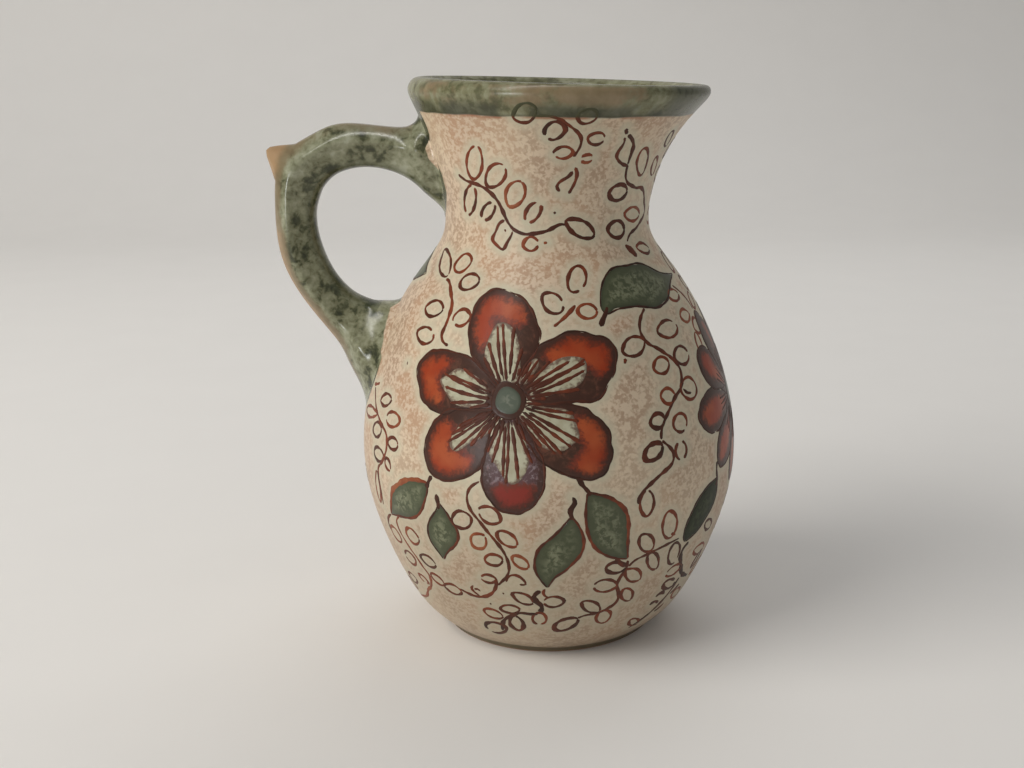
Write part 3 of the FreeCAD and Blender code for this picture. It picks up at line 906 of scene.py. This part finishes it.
# Each petal: its outline, the line along which it glows, its pale zone, the number of
# stripes on that, and how violet it is
PETALS = {
    "top": (
        [(-24.5, 129), (-27.5, 135), (-28.8, 141), (-28, 147), (-25, 151), (-21, 152.8),
         (-16, 152.3), (-11, 150.5), (-6.5, 147), (-3.5, 141.5), (-2.3, 135.5), (-5, 130),
         (-9, 122), (-12, 118), (-18, 122), (-22, 126)],
        [(-25, 138), (-25, 145), (-20, 149), (-11, 147)],
        [(-13, 120), (-18.2, 123.5), (-20.8, 129), (-20, 137), (-18, 141), (-14.8, 141.5),
         (-11.3, 139), (-8.9, 133), (-8.3, 127), (-9.2, 121)], 7, 0.0),
    "upper_right": (
        [(-2, 134.5), (2, 136), (6, 138), (11, 138.3), (16, 137), (21, 134.5), (22.8, 131),
         (22.3, 127), (20.5, 122), (17.5, 117.5), (15.5, 114.7), (9, 114), (2, 113.5),
         (-5, 115), (-9, 121), (-6, 128)],
        [(4, 133.5), (12, 134), (18.5, 129)],
        [(-5, 121), (-1, 126.3), (4, 129.6), (9, 130), (12.3, 128.3), (12.2, 124), (10.5, 120.5),
         (5, 117.6), (0, 115.8), (-5, 115.3)], 7, 0.0),
    "lower_right": (
        [(-7, 112), (0, 113), (5.5, 113.3), (9, 112.5), (13.5, 109), (17, 104), (18, 98.5),
         (17.5, 92), (15, 86.5), (11, 85), (7, 86.3), (2, 89.5), (-2, 92.5), (-5, 98), (-9, 107)],
        [(13, 104), (15, 96), (11.5, 89.5)],
        [(-7, 113.5), (0, 112.5), (4.5, 112), (7, 110), (8.5, 105), (9, 101), (7, 98.5),
         (4.5, 96.3), (1, 96.3), (-3.5, 99.5), (-7, 105.5), (-8.5, 109)], 8, 0.0),
    "bottom": (
        [(-10.5, 109), (-6.5, 106), (-4, 100), (-1.3, 92), (-1, 85), (-2.5, 78.5), (-6, 73.5),
         (-10, 72), (-14, 74), (-17.3, 79), (-18.7, 86), (-18, 93), (-16.5, 100), (-14, 106)],
        [(-12.5, 77), (-9.5, 77), (-6.5, 78)],
        [(-12, 106.5), (-8, 106), (-6, 100), (-5, 93), (-6.5, 87), (-10, 83.3), (-12.5, 86),
         (-15, 91), (-16.8, 95), (-16, 100), (-14, 104.5)], 7, 1.0),
    "lower_left": (
        [(-14, 110), (-20, 110.5), (-26, 110), (-31, 108.5), (-35, 103.5), (-37.3, 97),
         (-37, 90), (-36.3, 86.8), (-31, 82.3), (-26, 83.5), (-20.5, 87), (-18, 92), (-17, 99),
         (-15, 106)],
        [(-33, 101), (-32.5, 91), (-25, 87)],
        [(-15, 107.5), (-20, 108.5), (-25, 105.5), (-28, 101), (-28.8, 95.5), (-27.5, 94),
         (-23, 97), (-18.3, 100.5), (-15.5, 104.5)], 7, 0.0),
    "upper_left": (
        [(-14, 118), (-20, 124.5), (-26, 128.3), (-32, 129.7), (-39, 129.5), (-44, 126.5),
         (-46.3, 122.5), (-44, 116.5), (-40.5, 110.8), (-36, 108), (-32, 107), (-28, 109.3),
         (-20, 110.5), (-14, 113)],
        [(-38, 127), (-42, 121), (-38.5, 112)],
        [(-18, 117), (-21, 121.5), (-26, 124), (-30, 124.3), (-33, 121.5), (-35.5, 119.5),
         (-33, 115.5), (-29, 111.3), (-24, 110.5), (-19, 112)], 6, 0.0),
}
SMALL_ZONE = [(-9, 120.5), (-7.5, 124.5), (-5, 128.8), (-3.2, 129.6), (-2.4, 128), (-4, 124),
              (-6.8, 120)]
SMALL_ZONE_STRIPES = 3
FLOWER = (-11.7, 114.3)
# Heights above the pot of a flower's layers; each petal lies a step over the one before
PETAL_HEIGHT = 0.05
PETAL_STEP = 0.006
ZONE_HEIGHT = 0.11
CENTRE_HEIGHT = 0.2


def glow_from(line, reach, violet=0.0):
    """Colouring of a petal: bright along a line, dark away from it and near the edge."""
    line = np.asarray(line)

    def colouring(places, away):
        near = np.linalg.norm(places[:, None] - line[None], axis=2).min(1)
        glow = np.clip(1 - near / reach, 0, 1) * np.clip((away - 0.4) / 2.4, 0, 1)
        return {"glow": glow * 1.5, "violet": np.full(len(places), violet)}

    return colouring


def stripes(paint, centre, zone, count, seed):
    """Brown lines that fan from the flower's centre over a pale zone."""
    rng = random.Random(seed)
    scale = mm_per_degree(zone[:, 1].mean())
    flat = zone * (scale, 1)
    middle = np.array(centre) * (scale, 1)
    arms = flat - middle
    aim = math.atan2(arms[:, 1].mean(), arms[:, 0].mean())
    turns = (np.arctan2(arms[:, 1], arms[:, 0]) - aim + math.pi) % (2 * math.pi) - math.pi
    far = np.linalg.norm(arms, axis=1) > 9.5
    low, high = turns[far].min(), turns[far].max()
    for index in range(count):
        turn = aim + low + (high - low) * (index + 0.5 + rng.uniform(-0.12, 0.12)) / count
        reach = np.linspace(6, 34, 57)
        ray = middle + reach[:, None] * np.array([math.cos(turn), math.sin(turn)])
        inside = np.nonzero(inside_of(flat, ray))[0]
        if len(inside) == 0:
            continue
        end = reach[inside[-1]] + rng.uniform(-0.3, 0.8)
        bow = rng.uniform(-0.03, 0.03)
        line = []
        for step in np.linspace(7.0 if index % 2 else 9.0, end, 5):
            bend = turn + bow * (step - 7) / 8
            line.append((centre[0] + step * math.cos(bend) / scale,
                         centre[1] + step * math.sin(bend)))
        stroke(paint, line, rng.uniform(0.95, 1.15), (0.85, 0.6, 0.5), base_height=0.15,
               height=0.21, taper=0.15, seed=rng.random())


def brushed_edge(outline, seed):
    """An outline with the small unevenness of a brush."""
    rng = random.Random(seed)
    scale = mm_per_degree(outline[:, 1].mean())
    left = left_of((np.roll(outline, -1, 0) - np.roll(outline, 1, 0)) * (scale, 1))
    turn = np.linspace(0, 2 * math.pi, len(outline), endpoint=False)
    wave = sum(rng.uniform(0.06, 0.16) * np.sin(waves * turn + rng.uniform(0, 6))
               for waves in (5, 9, 14, 21))
    return outline + left * wave[:, None] / (scale, 1)


def outline_strokes(paint, outline, seed):
    """A few tapering dark strokes that follow an outline and overlap at their ends."""
    rng = random.Random(seed)
    total = len(outline)
    first = rng.randrange(total)
    for _ in range(4):
        length = int(total * rng.uniform(0.26, 0.36))
        part = [tuple(outline[(first + i) % total]) for i in range(0, length, 4)]
        width = rng.uniform(0.75, 1.05)
        tones = (rng.uniform(0.6, 0.95), rng.uniform(0.7, 1.0))
        stroke(paint, part, width, tones, base_height=0.02, height=0.13, taper=0.75,
               seed=rng.random())
        first += int(total * 0.25)


def petal(petals, lines, outline, index, colouring, seed):
    """One petal with its dark brushed outline."""
    edge = brushed_edge(outline, seed)
    fill(petals, edge, PETAL_HEIGHT + PETAL_STEP * index, colouring=colouring)
    outline_strokes(lines, edge, seed)


def spokes(paint, centre, count, seed):
    """Short dark hairlines that run out from under the flower's centre."""
    rng = random.Random(seed)
    scale = mm_per_degree(centre[1])
    start = 6
    for index in range(count):
        turn = 2 * math.pi * (index + rng.uniform(-0.3, 0.3)) / count
        far = rng.uniform(9.5, 14.5)
        halfway = ((start + far) / 2, rng.uniform(-0.05, 0.05))
        line = [(centre[0] + reach * math.cos(turn + bend) / scale,
                 centre[1] + reach * math.sin(turn + bend))
                for reach, bend in ((start, 0), halfway, (far, 0))]
        stroke(paint, line, 0.55, (1.0, 0.8), base_height=0.08, height=0.15, taper=0.7,
               seed=rng.random())


def disc(paint, centre, radius, height, base_height, wobble, seed):
    """A round dab of paint with an uneven edge."""
    rng = random.Random(seed)
    phases = [rng.uniform(0, 6) for _ in range(3)]
    scale = mm_per_degree(centre[1])
    outline = []
    for step in range(40):
        turn = step * math.pi / 20
        waves = sum(math.sin((k + 2) * turn + phase) for k, phase in enumerate(phases))
        reach = radius * (1 + wobble * waves)
        outline.append((centre[0] + reach * math.cos(turn) / scale,
                        centre[1] + reach * math.sin(turn)))
    fill(paint, np.array(outline), height, base_height)


def finish_flower(name, centre, petals, zones, lines, dark_radius, dark_height, hub_radius):
    """The dark ring and grey-green hub at a flower's centre, and its paint as pieces."""
    disc(petals, centre, dark_radius, dark_height, 0.1, 0.03, name)
    hub = Paint()
    disc(hub, centre, hub_radius, CENTRE_HEIGHT, 0.16, 0.02, name + "hub")
    petals.make(name + "_petals", PETAL, "paint_red")
    if zones:
        zones.make(name + "_zones", MINT, "paint_mint")
    lines.make(name + "_lines", LINE, "paint_brown")
    hub.make(name + "_centre", DISC, "paint_green")


def big_flower(name, back):
    """The six-petalled flower that faces the camera, or its mirror image on the back."""
    centre = mirrored([FLOWER], back)[0]
    petals = Paint()
    zones = Paint()
    lines = Paint()
    for index, (key, (outline, glow, zone, count, violet)) in enumerate(PETALS.items()):
        outline = chart_curve(mirrored(outline, back), closed=True)
        scale = mm_per_degree(outline[:, 1].mean())
        bright = smooth_curve(np.array(mirrored(glow, back)) * (scale, 1), 20)
        colouring = glow_from(bright, 8.5 if violet else 9.5, violet)
        zone = chart_curve(mirrored(zone, back), closed=True)
        stripes(lines, centre, zone, count, name + key)
        petal(petals, lines, outline, index, colouring, name + key)
        fill(zones, zone, ZONE_HEIGHT, PETAL_HEIGHT)
    small = chart_curve(mirrored(SMALL_ZONE, back), closed=True)
    fill(zones, small, ZONE_HEIGHT, PETAL_HEIGHT)
    stripes(lines, centre, small, SMALL_ZONE_STRIPES, name + "small")
    spokes(lines, centre, 13, name)
    finish_flower(name, centre, petals, zones, lines, 6.9, 0.17, 5.2)


def side_flower(name, centre):
    """The narrower-petalled flower under the pouring lip."""
    petals = Paint()
    lines = Paint()
    scale = mm_per_degree(centre[1])
    width = 15.5
    for index in range(10):
        turn = math.radians(183 + 36 * index)
        length = 41 if index in (0, 5) else 37

        def at(along, across):
            x = along * math.cos(turn) - across * math.sin(turn)
            y = along * math.sin(turn) + across * math.cos(turn)
            return (centre[0] + x / scale, centre[1] + y)

        half = [(5, 2.2), (14, 4.6), (24, width / 2), (length - 6, width / 2 - 0.8), (length, 0)]
        outline = [at(a, b) for a, b in half] + [at(a, -b) for a, b in reversed(half[:-1])]
        bright = smooth_curve([np.array(place) * (scale, 1)
                               for place in (at(16, 0), at(length - 6, 1))], 14)
        petal(petals, lines, chart_curve(outline, closed=True), index, glow_from(bright, 7.0),
              name + str(index))
        for across in (-1.8, 0, 1.8):
            line = [at(8, across * 0.6), at(15, across), at(20, across * 1.3)]
            stroke(lines, line, 0.8, (0.95, 0.7), base_height=0.08, height=0.16, taper=0.4,
                   seed=index + across)
    finish_flower(name, centre, petals, None, lines, 7.2, 0.18, 5.6)


for back in (False, True):
    tag = "_back" if back else "_front"
    for name, (stems, leaflets) in SPRIGS.items():
        sprig(name + tag, stems, leaflets, back)
    for name, (sides, stem, outlines) in LEAVES.items():
        leaf(name + tag, sides, stem, outlines, back,
             DARK_LEAF if name == "leaf_low_right" else LEAF)
    big_flower("flower" + tag, back)
side_flower("flower_side", (81.5, 102.5))
for name, (stems, leaflets) in SINGLE_SPRIGS.items():
    sprig(name, stems, leaflets)
leaf("leaf_under_handle",
     [[(-70, 153.6), (-78, 151), (-86, 149), (-94, 148.8), (-102, 151), (-109, 155)],
      [(-104, 158.5), (-97, 161), (-89, 161), (-82, 158.6), (-76, 155.6)]],
     [(-109, 155), (-112, 158), (-114, 161.5)], [(0, 0.9, (0.9, 0.8)), (1, 0.9, (0.9, 0.9))])

# ---------------------------------------------------------------- handle

# The strap from the neck to the belly, each row across it: where its outer and its inner
# face lie in the XZ plane, and its width (outer x, outer z, inner x, inner z, width)
SECTIONS = [
    (-53.9, 212.4, -50.2, 184.7, 25.5), (-57.2, 211.1, -54.7, 188.8, 22),
    (-63.4, 211.2, -60.8, 192.3, 19.5), (-71.5, 212.1, -69, 194.6, 18.8),
    (-80, 212.8, -77, 194.8, 18.8), (-88, 211.8, -83.5, 193.3, 18.8),
    (-95.4, 208.5, -88, 190.8, 18.8), (-102.2, 204.8, -91.5, 187, 18.8),
    (-108.5, 199.5, -93.5, 182.8, 18.8), (-111.2, 191, -94.8, 178.5, 18.8),
    (-111.9, 182, -95.2, 174.5, 18.8), (-112, 173, -94.9, 169.5, 18.8),
    (-111.2, 162.5, -93.4, 162.8, 18.8), (-108.6, 153, -90.6, 155.5, 18.8),
    (-104.9, 145.4, -87.3, 149.8, 18.8), (-100.3, 138.2, -83.9, 145.8, 18.9),
    (-95.3, 131.5, -80, 142.6, 19.5), (-91, 126, -76, 140.6, 21),
    (-87.2, 120.6, -72.5, 139.4, 24), (-84.6, 115, -69.2, 139.2, 28),
]
# The spur's outline over the knee, in the XZ plane, and half of the strap's cross-section
# from its spine round to its inner face, as shares of half its depth and half its width
SPUR = [
    (-101.6, 205.0), (-103.5, 204.6), (-108.8, 204.2), (-112.9, 203.6), (-114.6, 202.3),
    (-114.6, 200.3), (-113.4, 196.2), (-111.8, 191),
]
HALF_SECTION = [
    (1.0, 0.0), (0.97, 0.3), (0.74, 0.66), (0.42, 0.94), (0.28, 1.0), (0.12, 0.965), (-0.45, 0.74),
    (-0.85, 0.55), (-1.0, 0.24), (-1.02, 0.0),
]
ROWS_ALONG_HANDLE = 240
AROUND_HANDLE = 64
FLARE_ROWS = 16
# Where the handle's flared roots meet the pot, and how far they reach from there
UPPER_ROOT = dict(angle=-90, height=195.5, half_width=14.5, up=20.5, down=22)
LOWER_ROOT = dict(angle=-90, height=117, half_width=21.5, up=24.5, down=25)


def strap_outline():
    """The strap's section as even points of a closed curve, from -1 to 1 each way."""
    mirror = [(out, -across) for out, across in HALF_SECTION[-2:0:-1]]
    section = smooth_curve(HALF_SECTION + mirror, AROUND_HANDLE, True)
    section[:, 0] = 2 * (section[:, 0] - section[:, 0].min()) / np.ptp(section[:, 0]) - 1
    section[:, 1] /= section[:, 1].max()
    return section


def spur_reach(middle, outward, along):
    """How far the spur's outline lies from a ring's middle, in the ring's outward direction."""
    ahead = [(np.array(p) - middle) @ along for p in SPUR]
    out = [(np.array(p) - middle) @ outward for p in SPUR]
    for i in range(len(SPUR) - 1):
        if ahead[i] <= 0 < ahead[i + 1]:
            share = -ahead[i] / (ahead[i + 1] - ahead[i])
            return out[i] + share * (out[i + 1] - out[i])
    return 0.0


def root_ring(root, rise):
    """Where a flared end meets the pot, and the direction in which it runs out; the strap's
    outer face turns up at the root where rise is 1 and down where it is -1."""
    section = strap_outline()
    turn = np.arctan2(section[:, 1] * 0.8, section[:, 0])
    across = np.sin(turn)
    up = rise * np.cos(turn)
    reach = np.where(up > 0, root["up"], root["down"])
    rings = []
    for share in (0.9, 1.0):
        height = root["height"] + reach * up * share
        width = root["half_width"] * share / mm_per_degree(height)
        rings.append(on_pot(root["angle"] - across * width, height, -0.15))
    return rings[1], unit(rings[1] - rings[0])


def flare_rings(start, leave, end, arrive):
    """Rings from start to end that leave and arrive in the given directions."""
    gap = np.linalg.norm(end - start, axis=1)[:, None]
    rings = []
    for share in np.linspace(0, 1, FLARE_ROWS + 1)[1:]:
        near = 2 * share ** 3 - 3 * share ** 2 + 1
        near_slope = share ** 3 - 2 * share ** 2 + share
        far = 3 * share ** 2 - 2 * share ** 3
        far_slope = share ** 3 - share ** 2
        rings.append(near * start + near_slope * gap * leave + far * end
                     + far_slope * gap * arrive)
    return np.array(rings)


def strap_ring(section, middle, row, next_middle, last_middle):
    """One ring of the strap with the spur raised on its spine, and the wear of its glaze."""
    outward = row[0:2] - row[2:4]
    half = np.linalg.norm(outward) / 2
    outward = outward / (2 * half)
    along = next_middle - last_middle
    along = along - (along @ outward) * outward
    along /= np.linalg.norm(along)
    across = section[:, 1] * (row[4] / 2)
    extra = max(spur_reach(middle, outward, along) - half, 0)
    spine = np.exp(-(across / 4.6) ** 2) * np.clip(section[:, 0] * 2.2 - 0.4, 0, 1)
    out = section[:, 0] * half + extra * spine
    across = across * (1 - 0.25 * min(extra / 7, 1) * spine)
    flat = middle[None] + outward[None] * out[:, None]
    ring = MM * np.stack([flat[:, 0], across, flat[:, 1]], 1)
    on_top = middle[0] > -90 and middle[1] > 180
    worn = 0.4 if on_top else np.interp(middle[1], [118, 134, 150, 188, 196],
                                        [0, 1.0, 0.95, 0.65, 0.5])
    edge = np.exp(-((across + 1.5) / 8) ** 2) * np.clip(section[:, 0] * 2 - 0.3, 0, 1)
    return ring, edge * worn + spine * min(extra / 6, 1) * 0.9


def make_handle():
    """One skin of glaze over the strap, its spur and both flared roots."""
    section = strap_outline()
    rows = smooth_curve(SECTIONS, ROWS_ALONG_HANDLE)
    middle = (rows[:, 0:2] + rows[:, 2:4]) / 2
    last = len(rows) - 1
    rings = [strap_ring(section, middle[index], row, middle[min(index + 1, last)],
                        middle[max(index - 1, 0)]) for index, row in enumerate(rows)]
    shape = np.array([ring for ring, _ in rings])
    wear = np.array([worn for _, worn in rings])
    # How far round onto the inner face each point lies, where the green gets painted shade
    inner = np.clip(-section[:, 0], 0, 1)[None] * np.ones((len(rows), 1))
    blank = np.zeros((FLARE_ROWS, AROUND_HANDLE))
    rising = np.linspace(0, 1, FLARE_ROWS)[:, None]
    falling = np.linspace(1, 0, FLARE_ROWS)[:, None]

    # The lower root: its wear fades, and its sides turn to cream ground
    end, arrive = root_ring(LOWER_ROOT, -1)
    flare = flare_rings(shape[-1], unit(shape[-1] - shape[-4]), end, arrive)
    bare = np.clip((end[:, 2] - 0.104) / 0.028, 0, 1) * np.clip(abs(end[:, 1]) / 0.008, 0, 1)
    cream = np.vstack([np.zeros(wear.shape), rising * bare[None]])
    shape = np.vstack([shape, flare])
    wear = np.vstack([wear, blank + wear[-1:] * falling])
    inner = np.vstack([inner, blank])

    # The upper root, whose rings run from the pot to the strap
    end, arrive = root_ring(UPPER_ROOT, 1)
    flare = flare_rings(shape[0], unit(shape[0] - shape[3]), end, arrive)
    bare = np.interp(end[:, 2] / MM, [186, 195, 199, 204, 208, 212], [0, 0.5, 1, 1, 0.3, 0])
    cream = np.vstack([np.clip(rising[::-1] * 1.1 * bare[None], 0, 1), cream])
    shape = np.vstack([flare[::-1], shape])
    wear = np.vstack([blank, wear])
    inner = np.vstack([blank + inner[:1] * (1 - rising[::-1]), inner])

    thing = make_piece("handle_glazed", shape.reshape(-1, 3),
                       tube_faces(len(shape), AROUND_HANDLE), HANDLE_GLAZE, "glaze_green",
                       wear=wear, inner=inner, cream=cream)
    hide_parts("handle", "thumb_spur", "upper_lute", "lower_lute")


make_handle()

# ---------------------------------------------------------------- pot and lining

AROUND_POT = 330
AROUND_LINING = 240
LINING_TOP = 223.5
# Where the lip's glaze is worn (above 0), and where its green is darkened as painted shade
# towards the pouring side (below 0): (angle, spread, weight)
LIP_WEAR_AND_SHADE_SPOTS = [(8, 30, 1.0), (-52, 14, 0.3), (62, 24, -1.2), (128, 22, 1.0), (205, 30, 0.9)]


def angle_from(turn, spot):
    """How far an angle lies past a spot, from -180 to 180."""
    return (turn - spot + 180) % 360 - 180


def joint_distance(angle, height):
    """How far, in millimetres, a place lies inside the green round the handle's roots."""
    best = np.full(angle.shape, -9.0)
    lower_spread = np.interp(height, [112, 118, 124], [0.6, 0, -3.5])
    upper_spread = np.interp(height, [172, 177, 185, 193, 199, 204, 208, 212, 217],
                             [-2, 0, 4, 2.5, -2, -2, 5, 8, 10.5])
    for root, spread in ((UPPER_ROOT, upper_spread), (LOWER_ROOT, lower_spread)):
        side = angle_from(angle, root["angle"]) * mm_per_degree(height)
        rise = height - root["height"]
        tall = np.where(rise > 0, root["up"], root["down"]) + spread
        wide = root["half_width"] + spread
        reach = np.sqrt((side / wide) ** 2 + (rise / tall) ** 2)
        best = np.maximum(best, (1 - reach) * wide)
    return np.clip(best, -9, 9)


def halo_of(points):
    """1 beside the painting, falling to 0 a few millimetres away."""
    cloud = np.vstack(PAINTED)
    tree = KDTree(len(cloud))
    for index, point in enumerate(cloud):
        tree.insert(point, index)
    tree.balance()
    away = np.array([tree.find(point)[2] for point in points]) / MM
    return np.clip(1 - (away - 0.8) / 3.4, 0, 1)


def make_pot():
    """The pot's glazed clay, with the shades that place its glazes."""
    outer_rows = smooth_curve(OUTSIDE, 205)
    inner_rows = smooth_curve(INSIDE, 80)
    profile = np.vstack([FOOT, outer_rows, inner_rows[1:-1], [(1, 9)]])
    points, faces, level, turn = lathe(profile, AROUND_POT)
    outer_count = (len(FOOT) + len(outer_rows)) * AROUND_POT
    halo = np.zeros(len(points))
    halo[:outer_count] = halo_of(points[:outer_count])
    joint = joint_distance(turn, level)
    joint[outer_count:] = 9
    crest = OUTSIDE[-1][1]
    level[outer_count:] = crest + 1
    # The lip's wear, and painted shade on its green towards the pouring side
    bare_lip = sum(weight * np.exp(-(angle_from(turn, spot) / spread) ** 2)
                   for spot, spread, weight in LIP_WEAR_AND_SHADE_SPOTS)
    pot = make_piece("jug_body_glazed", points, faces, CLAY, "clay_cream", level=level,
                     halo=halo, joint=joint, bare_lip=bare_lip)
    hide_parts("jug_body")


def make_lining():
    """The coat of glaze inside, which thins out under the lip."""
    rows = smooth_curve(INSIDE, 400)
    rows = rows[rows[:, 1] < LINING_TOP][:-1:4]
    into_pot = -left_of(np.gradient(rows, axis=0))
    coat = np.clip((LINING_TOP - rows[:, 1]) / 6, 0, 1)[:, None] * 0.4
    front = rows + into_pot * coat
    behind = rows - into_pot * 0.35
    points, faces, _, _ = lathe(np.vstack([front, behind[::-1]]), AROUND_LINING)
    lining = make_piece("glaze_inside", points, faces, INSIDE_GLAZE, "glaze_green")
    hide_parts("glaze_lining")


make_pot()
make_lining()

# ---------------------------------------------------------------- floor, light and camera

FLOOR_SIDE = 4.0
WALL_START = 1.2
WALL_CURVE = 0.7
# Area lights, in metres and watts: name, place, target, (width, height), power, colour, and
# whether it shades surfaces and shows as a glint on them
LIGHTS = [
    ("key", (-1.7, -0.8, 1.35), (0, 0, 0.12), (1.6, 1.6), 38.0, (1.0, 0.965, 0.92), True, False),
    ("window", (-1.0, -1.35, 0.17), (0, 0, 0.12), (0.34, 0.3), 4.5, (0.94, 0.97, 1.0),
     False, True),
    ("skylight", (-0.4, -0.4, 1.25), (-0.05, 0, 0.2), (0.08, 1.7), 5.0, (1.0, 0.99, 0.96),
     False, True),
    ("rim_light", (0.3, 1.0, 1.2), (0, 0, 0.15), (1.2, 0.8), 4.0, (0.97, 0.98, 1.0), True, False),
]
# The camera's place in metres, its yaw, pitch and roll, and its lens
CAMERA_PLACE = (0, -0.53706, 0.23895)
YAW, PITCH, ROLL = math.radians(-1.618), math.radians(14.230), math.radians(-0.8013)
LENS = 45.70
SENSOR_WIDTH = 36


def add_light(name, place, target, size, power, colour, shading, glints):
    """A soft rectangular lamp that points at its target."""
    lamp = bpy.data.lights.new(name, "AREA")
    lamp.shape = "RECTANGLE"
    lamp.size, lamp.size_y = size
    lamp.energy = power
    lamp.color = colour
    thing = bpy.data.objects.new(name, lamp)
    thing.location = place
    thing.rotation_mode = "QUATERNION"
    thing.rotation_quaternion = (Vector(target) - Vector(place)).to_track_quat("-Z", "Y")
    thing.visible_camera = False
    thing.visible_diffuse = shading
    thing.visible_glossy = glints
    bpy.context.scene.collection.objects.link(thing)


def make_floor():
    """A pale floor that curves up into a pale wall behind."""
    line = [(-3.5, 0.0), (WALL_START, 0.0)]
    line += [(WALL_START + WALL_CURVE * math.sin(a), WALL_CURVE - WALL_CURVE * math.cos(a))
             for a in np.linspace(0.1, 1.5, 15)]
    line += [(1.92, 0.9), (1.92, 3.5)]
    verts = [(x, y, z) for y, z in line for x in (-FLOOR_SIDE, FLOOR_SIDE)]
    mesh = bpy.data.meshes.new("floor")
    mesh.from_pydata(verts, [], grid_faces(len(line), 2, closed=False))
    mesh.shade_smooth()
    nodes = Nodes("pale_floor")
    colour = nodes.mix(nodes.noise(60, 2.0), seen(236, 234, 230), seen(239, 237, 233))
    mesh.materials.append(nodes.finish(colour, 0.75, nodes.noise(4, 2.0), 0.02))
    floor = bpy.data.objects.new("floor", mesh)
    bpy.context.scene.collection.objects.link(floor)


def make_world():
    """Dim, nearly white light from all round."""
    world = bpy.data.worlds.new("studio")
    world.use_nodes = True
    background = world.node_tree.nodes["Background"]
    background.inputs["Color"].default_value = (0.88, 0.88, 0.89, 1)
    background.inputs["Strength"].default_value = 0.32
    bpy.context.scene.world = world


def make_camera():
    ahead = (math.sin(YAW) * math.cos(PITCH), math.cos(YAW) * math.cos(PITCH), -math.sin(PITCH))
    forward = Vector(ahead)
    level_right = Vector((math.cos(YAW), -math.sin(YAW), 0))
    level_up = level_right.cross(forward)
    right = math.cos(ROLL) * level_right + math.sin(ROLL) * level_up
    up = math.cos(ROLL) * level_up - math.sin(ROLL) * level_right
    camera = bpy.data.objects.new("camera", bpy.data.cameras.new("camera"))
    camera.data.sensor_width = SENSOR_WIDTH
    camera.data.lens = LENS
    camera.data.clip_start = 0.01
    pose = Matrix((right, up, -forward)).transposed().to_4x4()
    pose.translation = Vector(CAMERA_PLACE)
    camera.matrix_world = pose
    bpy.context.scene.collection.objects.link(camera)
    return camera


make_floor()
for light in LIGHTS:
    add_light(*light)
make_world()
bpy.context.scene.view_settings.view_transform = "Standard"
bpy.context.scene.camera = make_camera()

bpy.context.view_layer.update()
